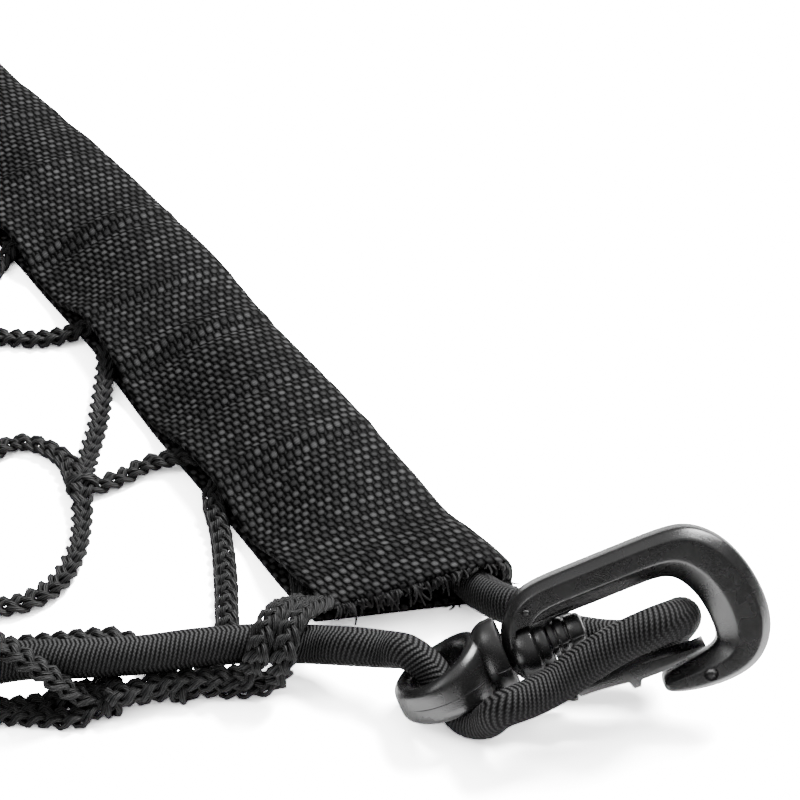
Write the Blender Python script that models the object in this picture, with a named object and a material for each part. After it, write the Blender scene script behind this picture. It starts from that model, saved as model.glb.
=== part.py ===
"""Cargo net: a knotless net laced on one elastic cord, between two folded webbing sleeves,
with a swivelling snap hook clipped to the elastic's bight at each corner.

The net lies flat, +Z up, with its middle over the origin. Sizes are millimetres until a mesh
is made. Each corner is described once, as the front right one, in a corner frame whose axes
are the net's own and whose origin is the point CORNER; the other corners are its reflections.
"""

from math import atan2, copysign, cos, pi, radians, sin

import bmesh
import bpy
from mathutils import Matrix, Vector

MM = 0.001

# Net lattice: knots on every other crossing of COLUMNS + 1 by ROWS + 1 lines
COLUMNS, ROWS = 12, 18
COLUMN_STEP, ROW_STEP = 34.0, 25.5
CORD = 4.6                     # thickness of a net cord
REST = CORD / 2                # height of a cord that lies on the ground
GAP = 0.3                      # clearance between pieces that touch

# Webbing sleeve: a 76 mm strap folded round the elastic, fold outwards
WEBBING = 1.3
SLEEVE_WIDTH = 37.0
KNOT_DEPTH = 7.5               # how far the net's edge knots lie inside the sleeve
LEVEL_IN_SLEEVE = WEBBING + GAP + REST
EDGE_OPEN = LEVEL_IN_SLEEVE + REST + GAP + WEBBING
EDGE_SHUT = 2 * WEBBING + GAP
TIE_HALF = 15.0                # half the length over which the sleeve opens round a knot

# Elastic cord
ELASTIC_R = 3.9
FRONT_LINE = -50.0             # where the elastic runs along the front, in the corner frame
FRONT_LEVEL = CORD + GAP + ELASTIC_R

# Corner frame
FRONT_ROW = -56.0              # first row of knots, in the corner frame
MIDDLE = FRONT_ROW + ROWS * ROW_STEP / 2
MEAN_FOLD = -18.0              # where the sleeve's folded edge would run if it were straight
CORNER = Vector((COLUMNS * COLUMN_STEP / 2 + SLEEVE_WIDTH - MEAN_FOLD - KNOT_DEPTH, -MIDDLE, 0))

# Snap hook: swivel axis along local X, spine side +Y, thickness along Z
HOOK_AT = Vector((-26.9, -97.2, 12.0))
HOOK_YAW, HOOK_PITCH, HOOK_ROLL = radians(-16), radians(20), radians(31)
EYE_ROLL = radians(24)
HOOK_THICK = 8.6
HOOK_ROUND = 2.3
PIN_R = 2.6
HEAD_R = 3.5
HEAD_GROOVE = 3.1              # radius in the grooves between the head's bands
HUB_R = 9.0
EYE_CENTRE = -12.4
EYE_OUTER = (9.9, 10.6)        # half sizes of the loop: along the swivel axis, across it
EYE_INNER = (6.0, 6.7)
EYE_HEIGHT = 7.0               # of the loop's bar at its outer end; it thins towards the hub
EYE_ROOT = 5.4
GATE_WIDE = 6.8

CORNERS = {                    # reflections of the front right corner: x, y
    "front_right": (1, 1),
    "front_left": (-1, 1),
    "back_right": (1, -1),
    "back_left": (-1, -1),
}

BLACK = {                      # name: colour, roughness
    "net_cord": ((0.012, 0.012, 0.013), 0.75),
    "webbing": ((0.016, 0.016, 0.018), 0.7),
    "elastic": ((0.018, 0.018, 0.020), 0.6),
    "hook_plastic": ((0.010, 0.010, 0.011), 0.35),
}


# ---------------------------------------------------------------- helpers

def material(name):
    """Plain dark material of the table above."""
    found = bpy.data.materials.get(name)
    if found:
        return found
    colour, roughness = BLACK[name]
    made = bpy.data.materials.new(name)
    made.use_nodes = True
    shader = made.node_tree.nodes["Principled BSDF"]
    shader.inputs["Base Color"].default_value = (*colour, 1)
    shader.inputs["Roughness"].default_value = roughness
    shader.inputs["Metallic"].default_value = 0
    return made


def add(name, data, look, matrix=None):
    """Put mesh or curve data in the scene as one named object."""
    if not data.materials:
        data.materials.append(material(look))
    made = bpy.data.objects.new(name, data)
    bpy.context.scene.collection.objects.link(made)
    if matrix is not None:
        made.matrix_world = matrix
    return made


def mesh_from(name, verts, faces):
    """Closed mesh from points in millimetres, with its faces turned outwards."""
    bm = bmesh.new()
    made = [bm.verts.new(Vector(v) * MM) for v in verts]
    for face in faces:
        bm.faces.new([made[i] for i in face])
    bmesh.ops.recalc_face_normals(bm, faces=bm.faces)
    mesh = bpy.data.meshes.new(name)
    bm.to_mesh(mesh)
    bm.free()
    return mesh


def smooth(points, spans, closed=False):
    """Catmull-Rom curve through the points, each span cut into the given number of parts."""
    points = [Vector(p) for p in points]
    n = len(points)
    curve = []
    for i in range(n if closed else n - 1):
        a, b, c, d = (points[(i + k) % n] if closed else points[min(max(i + k, 0), n - 1)]
                      for k in (-1, 0, 1, 2))
        for step in range(spans[i]):
            t = step / spans[i]
            curve.append(0.5 * (2 * b + (c - a) * t + (2 * a - 5 * b + 4 * c - d) * t ** 2
                                + (3 * b - a - 3 * c + d) * t ** 3))
    if not closed:
        curve.append(points[-1])
    return curve


def read(table, x):
    """Straight reading between the rows of a two-column table."""
    for (x0, y0), (x1, y1) in zip(table, table[1:]):
        if x <= x1 or x1 == table[-1][0]:
            return y0 + (y1 - y0) * (x - x0) / (x1 - x0)


def reflect(point, corner):
    """Corner frame of the front right corner to the net's frame, at one of the corners."""
    mirror_x, mirror_y = CORNERS[corner]
    at = CORNER + Vector(point)
    return Vector((at.x * mirror_x, at.y * mirror_y, at.z))


# ---------------------------------------------------------------- sleeve outline

FOLD_LINE = (                  # along the sleeve, place of its folded outer edge
    (-71.0, -10.6), (-50.0, -13.5), (-20.0, -16.0), (15.0, -18.0), (50.0, -19.0),
    (90.0, -21.5), (116.0, -25.0), (141.0, -28.6), (160.0, -32.3), (MIDDLE, -33.6),
)
CROWN = (                      # along the sleeve, height of its upper layer over the elastic
    (-71.0, 12.6), (-62.0, 12.0), (-47.0, 11.4), (-32.0, 12.6), (-18.0, 13.6), (0.0, 14.2),
    (20.0, 13.2), (40.0, 11.6), (58.0, 12.8), (74.0, 12.6), (91.0, 11.5), (109.0, 12.4),
    (124.0, 12.8), (139.0, 11.5), (157.0, 12.3), (MIDDLE, 12.8),
)
HALF_KNOTS = (-54.0, -9.0, 48.0, 103.0, 150.0)
KNOT_ROWS = HALF_KNOTS + tuple(2 * MIDDLE - y for y in reversed(HALF_KNOTS))
MOUTH = 17.0                   # how far the sleeve runs on past its last knots
MOUTH_SLANT = 12.0             # how much shorter its inner edge is


def fold_line(y):
    """Place of the sleeve's folded edge, alike towards both ends."""
    return read(FOLD_LINE, min(y, 2 * MIDDLE - y))


def crown(y):
    """Height of the sleeve's upper layer, alike towards both ends."""
    return read(CROWN, min(y, 2 * MIDDLE - y))


# ---------------------------------------------------------------- net

EDGE_X = MEAN_FOLD - SLEEVE_WIDTH + KNOT_DEPTH     # of the knots in the sleeve, unbowed
END_ROW = FRONT_LINE + 11.0    # row of knots behind the elastic
EDGE_ROW = FRONT_LINE - 12.0   # row of knots before it
GATHER = 22.0                  # how far the net is gathered towards its front and back


def lattice_knot(column, row):
    """Place of a plain knot: bowed in with the sleeves and slack towards front and back."""
    side = -1 if column > COLUMNS / 2 else 1
    near = min(column, COLUMNS - column)
    end = -1 if row > ROWS / 2 else 1
    depth = min(row, ROWS - row)
    y = depth * ROW_STEP + FRONT_ROW
    if depth == 0:
        y = END_ROW
    elif depth == 1:
        y = EDGE_ROW
    elif near:
        y -= GATHER * (1 - depth / (ROWS / 2)) ** 1.3
    if near == 0:
        y = KNOT_ROWS[row // 2]
    y_along = y if end == 1 or near == 0 else 2 * MIDDLE - y
    bow = (fold_line(y_along) - MEAN_FOLD) * (1 - near / (COLUMNS / 2)) ** 1.5
    x = EDGE_X - near * COLUMN_STEP + bow
    at = CORNER + Vector((x, y_along, LEVEL_IN_SLEEVE if near == 0 else REST))
    return Vector((at.x * side, at.y, at.z))


# Knots of each corner that lie away from the lattice: column, row, x, y, z. The one between
# columns is where the edge cord and the cord over the elastic part.
CORNER_KNOTS = (
    (0, 0, -44.0, -49.0, LEVEL_IN_SLEEVE),
    (1, 1, -82.0, -67.0, REST),
    (1.5, 0.5, -96.5, -64.6, REST),
    (1, 3, -76.7, 1.2, REST),
    (1, 5, -84.0, 66.0, REST),
    (2, 0, -124.5, -40.0, REST),
    (2, 2, -127.0, -28.5, REST),
    (2, 4, -114.0, 27.0, REST),
)

# Cords of each corner by hand: column and row of both ends, then the points between
CORNER_CORDS = (
    (0, 0, 1, 1, ((-46.5, -57.5, LEVEL_IN_SLEEVE), (-48.6, -62.2, 4.0), (-51.8, -66.4, 10.0),
                  (-57.0, -69.7, 15.2), (-62.5, -75.6, 14.6), (-65.2, -77.8, 7.4),
                  (-70.5, -73.4, REST))),
    (0, 2, 1, 1, ((-53.6, -16.9, LEVEL_IN_SLEEVE), (-55.6, -23.0, 3.8), (-57.8, -31.0, REST),
                  (-63.9, -46.5, REST), (-69.0, -57.5, REST))),
    (2, 2, 1, 1, ((-109.4, -37.0, REST), (-98.2, -41.8, REST), (-88.6, -46.0, REST),
                  (-84.6, -55.0, REST))),
    (1.5, 0.5, 1, 1, ()),
    (2, 0, 1.5, 0.5, ((-122.6, -41.6, 5.6), (-120.6, -43.6, 12.8), (-115.8, -49.4, 17.0),
                      (-110.4, -56.2, 15.8), (-105.6, -60.8, 10.8), (-101.4, -61.8, 5.4))),
    (1.5, 0.5, 3, 1, ((-104.4, -67.4, REST), (-110.6, -64.6, REST), (-116.6, -59.6, REST),
                      (-122.6, -60.2, REST), (-129.0, -64.2, REST), (-137.0, -65.6, REST))),
    (0, 2, 1, 3, ((-51.4, -3.8, LEVEL_IN_SLEEVE), (-57.4, 0.4, LEVEL_IN_SLEEVE),
                  (-64.0, 1.6, REST))),
    (0, 4, 1, 3, ((-52.8, 43.6, LEVEL_IN_SLEEVE), (-58.0, 36.6, 3.8), (-61.6, 28.6, REST),
                  (-67.0, 18.3, REST))),
    (2, 4, 1, 3, ((-99.0, 21.5, REST), (-88.0, 21.6, REST), (-80.4, 16.6, REST),
                  (-77.6, 9.6, REST))),
    (2, 2, 1, 3, ((-114.0, -27.6, REST), (-100.4, -28.5, REST), (-90.0, -23.5, REST),
                  (-81.6, -11.0, REST))),
    (0, 4, 1, 5, ((-52.8, 52.2, LEVEL_IN_SLEEVE), (-59.4, 55.4, LEVEL_IN_SLEEVE),
                  (-65.5, 57.6, REST), (-74.0, 62.4, REST))),
    (0, 6, 1, 5, ((-56.6, 99.6, LEVEL_IN_SLEEVE), (-63.4, 94.6, LEVEL_IN_SLEEVE),
                  (-69.5, 88.0, REST))),
)
REPLACED = ((2, 0, 1, 1),)     # cords that the table above leads elsewhere

# A cord over the elastic, from its front knot to its back one: share of the way across, and
# turn round the elastic, measured from straight behind it over its top
OVER_R = ELASTIC_R + GAP + CORD / 2 + 1.4
OVER = ((0.42, 190), (0.45, 140), (0.50, 90), (0.55, 40), (0.58, -10))
OVER_START = Vector((8.2, 4.2))    # first point, from the front knot
OVER_END = Vector((0.87, -1.2))    # last point: share of the way across, and from the back knot
UNDER = ((0.16, 0.0), (0.47, 12.0))    # under the elastic: share across, behind the elastic
EDGE_BOW = ((0.25, 3.4), (0.75, 3.4))  # edge cord between two knots: share, bow outwards
SLACK = 2.2                    # most that a slack cord strays from the straight line
CLIMB = ((3.0, LEVEL_IN_SLEEVE), (10.0, REST))     # past the sleeve's inner edge: way, height


def knots():
    """All knots by column and row, the corners' own places taking the lattice's."""
    found = {(c, r): lattice_knot(c, r)
             for c in range(COLUMNS + 1) for r in range(ROWS + 1) if (c + r) % 2 == 0}
    for corner in CORNERS:
        for column, row, *place in CORNER_KNOTS:
            found[turned_key((column, row), corner)] = reflect(place, corner)
    return found


def front_route(front, back, over):
    """Way from a knot before the elastic to one behind it, over the elastic or under it."""
    toward = -1 if front.y > 0 else 1
    line = (CORNER.y + FRONT_LINE) * toward
    across = back.x - front.x
    if not over:
        return [Vector((front.x + across * share, line + behind * toward, REST))
                for share, behind in UNDER]
    start, before_end = OVER_START, OVER_END
    route = [Vector((front.x + copysign(start.x, across), front.y + start.y * toward, REST))]
    for share, turn in OVER:
        route.append(Vector((front.x + across * share,
                             line + OVER_R * cos(radians(turn)) * toward,
                             FRONT_LEVEL + OVER_R * sin(radians(turn)))))
    route.append(Vector((front.x + across * before_end.x, back.y + before_end.y * toward, REST)))
    return route


def sleeve_route(edge, inner):
    """Points where a cord climbs over the sleeve's lower layer on its way to an edge knot."""
    way = inner - edge
    points = []
    for beyond, level in CLIMB:
        at = edge + way * ((KNOT_DEPTH + beyond) / abs(way.x))
        points.append(Vector((at.x, at.y, level)))
    return points


def slack(a, b, seed):
    """Middle point of a plain cord, pushed a little off the straight line."""
    way = b - a
    off = Vector((-way.y, way.x, 0)).normalized() * SLACK * sin(seed)
    return [(a + b) / 2 + off]


def turned_key(key, corner):
    """Column and row of a front right knot at another corner."""
    mirror_x, mirror_y = CORNERS[corner]
    column, row = key
    return (column if mirror_x == 1 else COLUMNS - column, row if mirror_y == 1 else ROWS - row)


def cords(place):
    """All cords of the net as (end, end, points between)."""
    made, done = [], set()
    for corner in CORNERS:
        for *ends, route in CORNER_CORDS:
            a, b = turned_key(ends[:2], corner), turned_key(ends[2:], corner)
            made.append((a, b, [reflect(p, corner) for p in route]))
            done.add(frozenset((a, b)))
        for ends in REPLACED:
            done.add(frozenset((turned_key(ends[:2], corner), turned_key(ends[2:], corner))))
    for key, at in sorted(place.items()):
        column, row = key
        for step in (1, -1):
            other = (column + 1, row + step)
            if other not in place or frozenset((key, other)) in done:
                continue
            a, b = key, other
            end_row = 0 if row < ROWS / 2 else ROWS
            front_row = abs(end_row - 1)
            if front_row in (row, other[1]):
                a, b = (a, b) if row == front_row else (b, a)
                route = front_route(place[a], place[b], over=b[1] == end_row)
            elif column == 0 or other[0] == COLUMNS:
                a, b = (a, b) if column == 0 else (b, a)
                route = sleeve_route(place[a], place[b])
            elif column < 4 and row < 9:
                route = slack(place[a], place[b], column * 2.3 + row * 1.7)
            else:
                route = []
            made.append((a, b, route))
    for row in (1, ROWS - 1):
        outward = -1 if row == 1 else 1
        for column in range(3, COLUMNS - 3, 2):
            a, b = (column, row), (column + 2, row)
            way = place[b] - place[a]
            made.append((a, b, [place[a] + way * share + Vector((0, bow * outward, 0))
                                for share, bow in EDGE_BOW]))
    return made


def build_net():
    """Square cords that meet in flat hubs, all one body."""
    place = knots()
    verts, faces = [], []

    def vert(point):
        verts.append(point)
        return len(verts) - 1

    half = CORD / 2
    lines = []                                  # polylines from knot to knot
    leaving = {key: [] for key in place}        # (angle, line, end) of cords at a knot
    for a, b, route in cords(place):
        line = [place[a], *route, place[b]]
        for key, near, following, end in ((a, line[0], line[1], 0), (b, line[-1], line[-2], 1)):
            way = following - near
            leaving[key].append((atan2(way.y, way.x), len(lines), end))
        lines.append(line)

    mouths = {}                                 # (line, end) -> right and left, top and bottom
    for key, found in leaving.items():
        found.sort()
        at = place[key]
        corners = []
        for i, (angle, _, _) in enumerate(found):
            turn = (found[(i + 1) % len(found)][0] - angle) % (2 * pi) or 2 * pi
            if len(found) == 1:
                reach = Vector((-sin(angle), cos(angle), 0)) * half
                corners = [(at + reach, at - reach)]
                break
            aim = angle + turn / 2
            corners.append(at + Vector((cos(aim), sin(aim), 0)) * (half / sin(turn / 2)))
        if len(found) == 1:
            left, right = corners[0]
            sides = [[vert(p + Vector((0, 0, z))) for z in (half, -half)] for p in (right, left)]
            mouths[found[0][1:]] = sides
            faces.append([sides[0][0], sides[0][1], sides[1][1], sides[1][0]])
            continue
        posts = [[vert(p + Vector((0, 0, z))) for z in (half, -half)] for p in corners]
        for i, (_, line, end) in enumerate(found):
            mouths[(line, end)] = (posts[i - 1], posts[i])
        if len(found) > 2:
            for level in (0, 1):
                faces.append([post[level] for post in posts])

    for number, line in enumerate(lines):
        right, left = mouths[(number, 0)]
        rings = [[right[0], left[0], left[1], right[1]]]
        for before, at, after in zip(line, line[1:], line[2:]):
            way_in, way_out = (at - before).normalized(), (after - at).normalized()
            along = (way_in + way_out).normalized()
            side = Vector((-along.y, along.x, 0)).normalized()
            up = along.cross(side).normalized()
            wide = half / max(along.dot(way_in), 0.7)
            ring = [at + side * s * half + up * u * wide
                    for s, u in ((-1, 1), (1, 1), (1, -1), (-1, -1))]
            rings.append([vert(Vector((p.x, p.y, max(p.z, 0)))) for p in ring])
        right, left = mouths[(number, 1)]
        rings.append([left[0], right[0], right[1], left[1]])
        for one, two in zip(rings, rings[1:]):
            for k in range(4):
                faces.append([one[k], one[(k + 1) % 4], two[(k + 1) % 4], two[k]])
    add("net", mesh_from("net", verts, faces), "net_cord")


# ---------------------------------------------------------------- sleeves

def sleeve_stations():
    """Places of the sleeve's cross sections: inner y, outer y and height of the inner edge."""
    stations = []
    for row, following in zip(KNOT_ROWS, KNOT_ROWS[1:]):
        if row != KNOT_ROWS[0]:
            stations.append((row - TIE_HALF, row - TIE_HALF, EDGE_OPEN))
        stations.append((row + TIE_HALF, row + TIE_HALF, EDGE_OPEN))
        stations.append(((row + following) / 2,) * 2 + (EDGE_SHUT,))
    last = KNOT_ROWS[-1]
    stations.append((last - TIE_HALF,) * 2 + (EDGE_OPEN,))
    for end, way, first in ((KNOT_ROWS[0], -1, True), (last, 1, False)):
        mouth = (end + way * (MOUTH - MOUTH_SLANT), end + way * MOUTH, EDGE_OPEN)
        before = (end - way * 2.0, end + way * 5.0, EDGE_OPEN)
        stations = [mouth, before] + stations if first else stations + [before, mouth]
    return stations


def sleeve_section(y_inner, y_outer, edge):
    """Middle of the webbing, from the lower layer's inner edge round the fold to the upper's."""
    inner, outer = fold_line(y_inner) - SLEEVE_WIDTH, fold_line(y_outer)
    top, half = crown(y_outer), WEBBING / 2
    wide = outer - inner
    shape = (                  # share of the way across, height
        (0.0, half), (0.5, half), (0.86, half), (1.0, 2.6), (1.0, top * 0.62),
        (0.93, top - half - 0.9), (0.80, top - half), (0.60, top - half - 0.3),
        (0.30, (top + edge) / 2 - half), (0.0, edge - half),
    )
    points = []
    for share, height in shape:
        x = inner + wide * share - (half if share == 1.0 else 0)
        points.append(Vector((x, y_inner + (y_outer - y_inner) * share, height)))
    return points


def build_sleeve(name, mirror_x):
    """Folded strap round the elastic, open at both ends and along its inner edge."""
    verts, faces = [], []
    rings = []
    for station in sleeve_stations():
        middle = sleeve_section(*station)
        inside, outside = [], []
        for i, at in enumerate(middle):
            before, after = middle[max(i - 1, 0)], middle[min(i + 1, len(middle) - 1)]
            way = (after - before)
            normal = Vector((way.z, 0, -way.x)).normalized() * (WEBBING / 2)
            outside.append(at + normal)
            inside.append(at - normal)
        ring = []
        for at in outside + inside[::-1]:
            at = CORNER + at
            at.z = max(at.z, 0.0)
            verts.append(Vector((at.x * mirror_x, at.y, at.z)))
            ring.append(len(verts) - 1)
        rings.append(ring)
    size = len(rings[0])
    layers = size // 2
    for one, two in zip(rings, rings[1:]):
        for k in range(size):
            a, b, c, d = one[k], one[(k + 1) % size], two[(k + 1) % size], two[k]
            # the same diagonal on both faces of the strap, so that they stay apart
            faces += [[a, b, c], [a, c, d]] if k < layers else [[a, b, d], [b, c, d]]
    for ring in (rings[0], rings[-1]):
        for k in range(layers - 1):
            faces.append([ring[k], ring[k + 1], ring[size - 2 - k], ring[size - 1 - k]])
    add(name, mesh_from(name, verts, faces), "webbing")


# ---------------------------------------------------------------- elastic cord

SLEEVE_LEVEL = WEBBING + 0.5 + ELASTIC_R       # height of the elastic in the sleeve
FOLD_ROOM = 1.2                # between the elastic and the inside of the sleeve's fold
IN_SLEEVE = 34.0               # from the sleeve's last knots to where the tables take over
SLEEVE_PARTS = 12

# The elastic at a corner, in three stretches: x, y, z, radius and the parts in the span before
# the next point. Out of the sleeve and along the front it is in the corner frame.
ELASTIC_OUT = (
    (-19.8, -52.0, SLEEVE_LEVEL, 3.9, 1), (-19.0, -63.0, SLEEVE_LEVEL, 3.9, 1), (-18.6, -71.0, 6.4, 3.9, 1),
    (-18.2, -79.0, 9.0, 3.9, 1),
)
# Behind the hook's base, through its opening and back in front, then up through the eye, it is
# in the hook's frame. It is squeezed where it bends and in the eye.
ELASTIC_HOOKED = (
    (6.3, 4.4, -13.2, 3.9, 1), (11.4, -0.9, -9.8, 3.9, 1), (18.0, -5.4, -9.4, 3.9, 1),
    (25.0, -8.4, -9.4, 3.9, 2), (31.0, -9.4, -8.8, 3.8, 2), (34.3, -7.0, -5.2, 3.7, 2),
    (34.5, -5.0, 0.0, 3.7, 2), (33.2, -3.8, 5.0, 3.8, 2), (29.4, -3.0, 8.0, 3.9, 1),
    (22.5, -3.1, 8.7, 3.9, 1), (15.1, -4.2, 8.9, 3.9, 1), (8.2, -5.7, 9.6, 3.8, 1),
    (2.0, -5.9, 11.3, 3.7, 1), (-3.4, -5.7, 12.2, 3.5, 2), (-7.4, -7.7, 8.0, 3.4, 2),
    (-11.4, -6.8, 2.9, 3.4, 2), (-13.2, -1.7, 0.4, 3.4, 2), (-14.0, 3.4, -0.9, 3.4, 2),
    (-17.0, 7.9, -2.8, 3.5, 2), (-20.6, 9.2, -5.6, 3.7, 2),
)
ELASTIC_ALONG = (
    (-49.5, -78.0, 9.0, 3.9, 1), (-55.8, -71.4, 6.8, 3.9, 1), (-65.3, -67.9, 8.2, 3.9, 1),
    (-76.5, -64.2, FRONT_LEVEL, 3.9, 1), (-87.8, -60.9, FRONT_LEVEL, 3.9, 1),
    (-98.5, -56.6, FRONT_LEVEL, 3.9, 1), (-110.0, -51.6, FRONT_LEVEL, 3.9, 1),
    (-124.0, FRONT_LINE, FRONT_LEVEL, 3.9, 2),
)


def elastic_corner(corner):
    """The elastic at one corner, out of the sleeve and on to the front."""
    pose = hook_matrix(corner, HOOK_ROLL)
    rows = [(reflect(row[:3], corner), *row[3:]) for row in ELASTIC_OUT]
    for x, y, z, *rest in ELASTIC_HOOKED:
        hand = CORNERS[corner][0] * CORNERS[corner][1]
        rows.append(((pose @ (Vector((x, y, z * hand)) * MM)) / MM, *rest))
    return rows + [(reflect(row[:3], corner), *row[3:]) for row in ELASTIC_ALONG]


def elastic_points():
    """One closed round: along the front, up the left sleeve, along the back, down the right."""
    points, spans = [], []

    def add_point(at, radius, parts):
        points.append((*at, radius))
        spans.append(parts)

    def add_corner(name, outward):
        rows = elastic_corner(name)
        if outward:
            for row in rows:
                add_point(*row)
        else:
            for row, before in zip(reversed(rows), [*reversed(rows[:-1]), rows[0]]):
                add_point(row[0], row[1], before[2])

    def add_front(mirror):
        for column in range(4, COLUMNS - 3, 2):
            x = (COLUMNS / 2 - column) * COLUMN_STEP * mirror
            add_point((x, (CORNER.y + FRONT_LINE) * mirror, FRONT_LEVEL), ELASTIC_R, 1)

    def add_sleeve(side):
        first, last = KNOT_ROWS[0] + IN_SLEEVE, KNOT_ROWS[-1] - IN_SLEEVE
        for step in range(SLEEVE_PARTS + 1):
            y = first + (last - first) * step / SLEEVE_PARTS
            x = CORNER.x + fold_line(y) - WEBBING - FOLD_ROOM - ELASTIC_R
            add_point((x * side, (CORNER.y + y) * -side, SLEEVE_LEVEL), ELASTIC_R, 1)

    add_corner("front_right", True)
    add_front(1)
    add_corner("front_left", False)
    add_sleeve(-1)
    add_corner("back_left", True)
    add_front(-1)
    add_corner("back_right", False)
    add_sleeve(1)
    return smooth(points, spans, closed=True)


def build_elastic():
    """Round cord, one closed loop."""
    curve = bpy.data.curves.new("elastic_cord", "CURVE")
    curve.dimensions = "3D"
    curve.bevel_depth = MM
    curve.bevel_resolution = 2
    spline = curve.splines.new("POLY")
    points = elastic_points()
    spline.points.add(len(points) - 1)
    for slot, at in zip(spline.points, points):
        slot.co = (*(at.xyz * MM), 1)
        slot.radius = at.w
    spline.use_cyclic_u = True
    add("elastic_cord", curve, "elastic")


# ---------------------------------------------------------------- snap hook

BASE_LONG, HOOK_HALF = 10.7, 12.4      # half-ellipse of the base: along the axis, across it
BASE_INNER = 9.2
# Outer edge past the spine, round the bend to the tip of the nose
BEND = (
    (37.5, 12.3), (41.0, 11.8), (44.2, 9.9), (47.1, 6.8), (49.4, 2.5), (50.8, -3.6),
    (50.8, -9.2), (49.4, -13.9), (46.6, -17.6), (42.6, -19.6), (36.3, -19.9), (30.6, -18.9),
    (27.0, -17.8), (25.8, -15.9), (26.4, -14.2),
)
# Back along the nose, inside the bend and under the spine
OPENING = (
    (31.2, -13.6), (35.6, -12.5), (38.8, -12.2), (39.6, -9.3), (39.3, -4.9), (38.1, -0.4),
    (35.6, 3.3), (33.4, 4.1), (19.6, 4.1), (18.6, 4.4), (BASE_INNER + 1.2, 4.4),
    (BASE_INNER, 3.2), (BASE_INNER, -9.4), (10.4, -10.9), (10.4, -12.0),
)
GATE = (                               # outline: along the axis, across it
    (BASE_INNER + 0.4, -9.0), (15.4, -10.1), (20.7, -9.9), (27.7, -10.4), (34.6, -11.0),
    (36.8, -10.9), (36.6, -11.5), (31.1, -12.4), (26.5, -13.0), (22.9, -12.9), (22.3, -14.1),
    (20.9, -14.0), (20.4, -12.5), (15.2, -11.8), (10.8, -11.5), (10.8, -10.6),
)
# Turned half of the eye: along the axis, radius. Hub, pin and ribbed head
EYE_TURNED = (
    (-6.2, 0), (-6.2, 5.6), (-4.6, 8.3), (-2.6, HUB_R), (1.0, HUB_R), (1.4, 8.6), (0.2, 6.0),
    (-0.4, 3.8), (-0.4, PIN_R), (BASE_INNER + 0.4, PIN_R), (BASE_INNER + 0.4, 2.9),
    (BASE_INNER + 1.0, HEAD_R), (12.1, HEAD_R), (12.5, HEAD_GROOVE), (12.9, HEAD_R),
    (14.9, HEAD_R), (15.3, HEAD_GROOVE), (15.7, HEAD_R), (17.5, HEAD_R), (18.0, 3.0), (18.0, 0),
)


def hook_matrix(corner, roll):
    """Pose of a hook piece. It is alike on both faces, so a reflection is a rotation of it."""
    mirror_x, mirror_y = CORNERS[corner]
    axis = Vector((cos(HOOK_PITCH) * cos(HOOK_YAW), cos(HOOK_PITCH) * sin(HOOK_YAW),
                   sin(HOOK_PITCH)))
    level = Vector((0, 0, 1)).cross(axis).normalized()
    upright = axis.cross(level)
    face = upright * sin(roll) - level * cos(roll)
    across = face.cross(axis)
    mirror = Matrix.Diagonal((mirror_x, mirror_y, 1))
    axis, across = mirror @ axis, mirror @ across
    facing = Matrix((axis, across, axis.cross(across))).transposed()
    return Matrix.Translation(reflect(HOOK_AT, corner) * MM) @ facing.to_4x4()


def prism(name, outline, thick, rounding, segments):
    """Outline extruded along Z, centred on it, its rims rounded by a bevel."""
    n = len(outline)
    verts = [(x, y, z) for z in (-thick / 2, thick / 2) for x, y in outline]
    faces = [list(range(n)), list(range(n, 2 * n))]
    faces += [[i, (i + 1) % n, n + (i + 1) % n, n + i] for i in range(n)]
    made = add(name, mesh_from(name, verts, faces), "hook_plastic")
    bevel = made.modifiers.new("rounding", "BEVEL")
    bevel.width = rounding * MM
    bevel.segments = segments
    bevel.limit_method = "ANGLE"
    bevel.angle_limit = radians(60)
    return made


def turned(name, profile, sides):
    """Profile turned round the X axis, closed where it meets the axis."""
    verts, rings = [], []
    for x, radius in profile:
        count = sides if radius else 1
        rings.append(list(range(len(verts), len(verts) + count)))
        verts += [(x, radius * cos(2 * pi * k / sides), radius * sin(2 * pi * k / sides))
                  for k in range(count)]
    faces = []
    for one, two in zip(rings, rings[1:]):
        for k in range(sides):
            a, b = one[k % len(one)], one[(k + 1) % len(one)]
            c, d = two[(k + 1) % len(two)], two[k % len(two)]
            faces.append(list(dict.fromkeys((a, b, c, d))))
    return add(name, mesh_from(name, verts, faces), "hook_plastic")


def merge(target, tool, operation):
    """Boolean of one object with another."""
    boolean = target.modifiers.new(operation.lower(), "BOOLEAN")
    boolean.operation = operation
    boolean.object = tool


def baked(made, *spent):
    """Mesh of an object with its modifiers applied; the objects it came from are removed."""
    bpy.context.view_layer.update()
    evaluated = made.evaluated_get(bpy.context.evaluated_depsgraph_get())
    mesh = bpy.data.meshes.new_from_object(evaluated)
    mesh.shade_smooth()
    mesh.set_sharp_from_angle(angle=radians(30))
    for old in (made, *spent):
        bpy.data.objects.remove(old)
    return mesh


def hook_mesh():
    """Base, spine, bend and nose in one, bored for the pin."""
    arc = [(BASE_LONG * (1 - cos(t)), HOOK_HALF * sin(t))
           for t in (radians(-90 + 180 * k / 10) for k in range(11))]
    body = prism("hook", [*arc, *BEND, *OPENING], HOOK_THICK, HOOK_ROUND, 2)
    bore_r = PIN_R + GAP + 0.15
    bore = turned("bore", ((-2, 0), (-2, bore_r), (BASE_INNER + 2, bore_r),
                           (BASE_INNER + 2, 0)), 12)
    merge(body, bore, "DIFFERENCE")
    return baked(body, bore)


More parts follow.
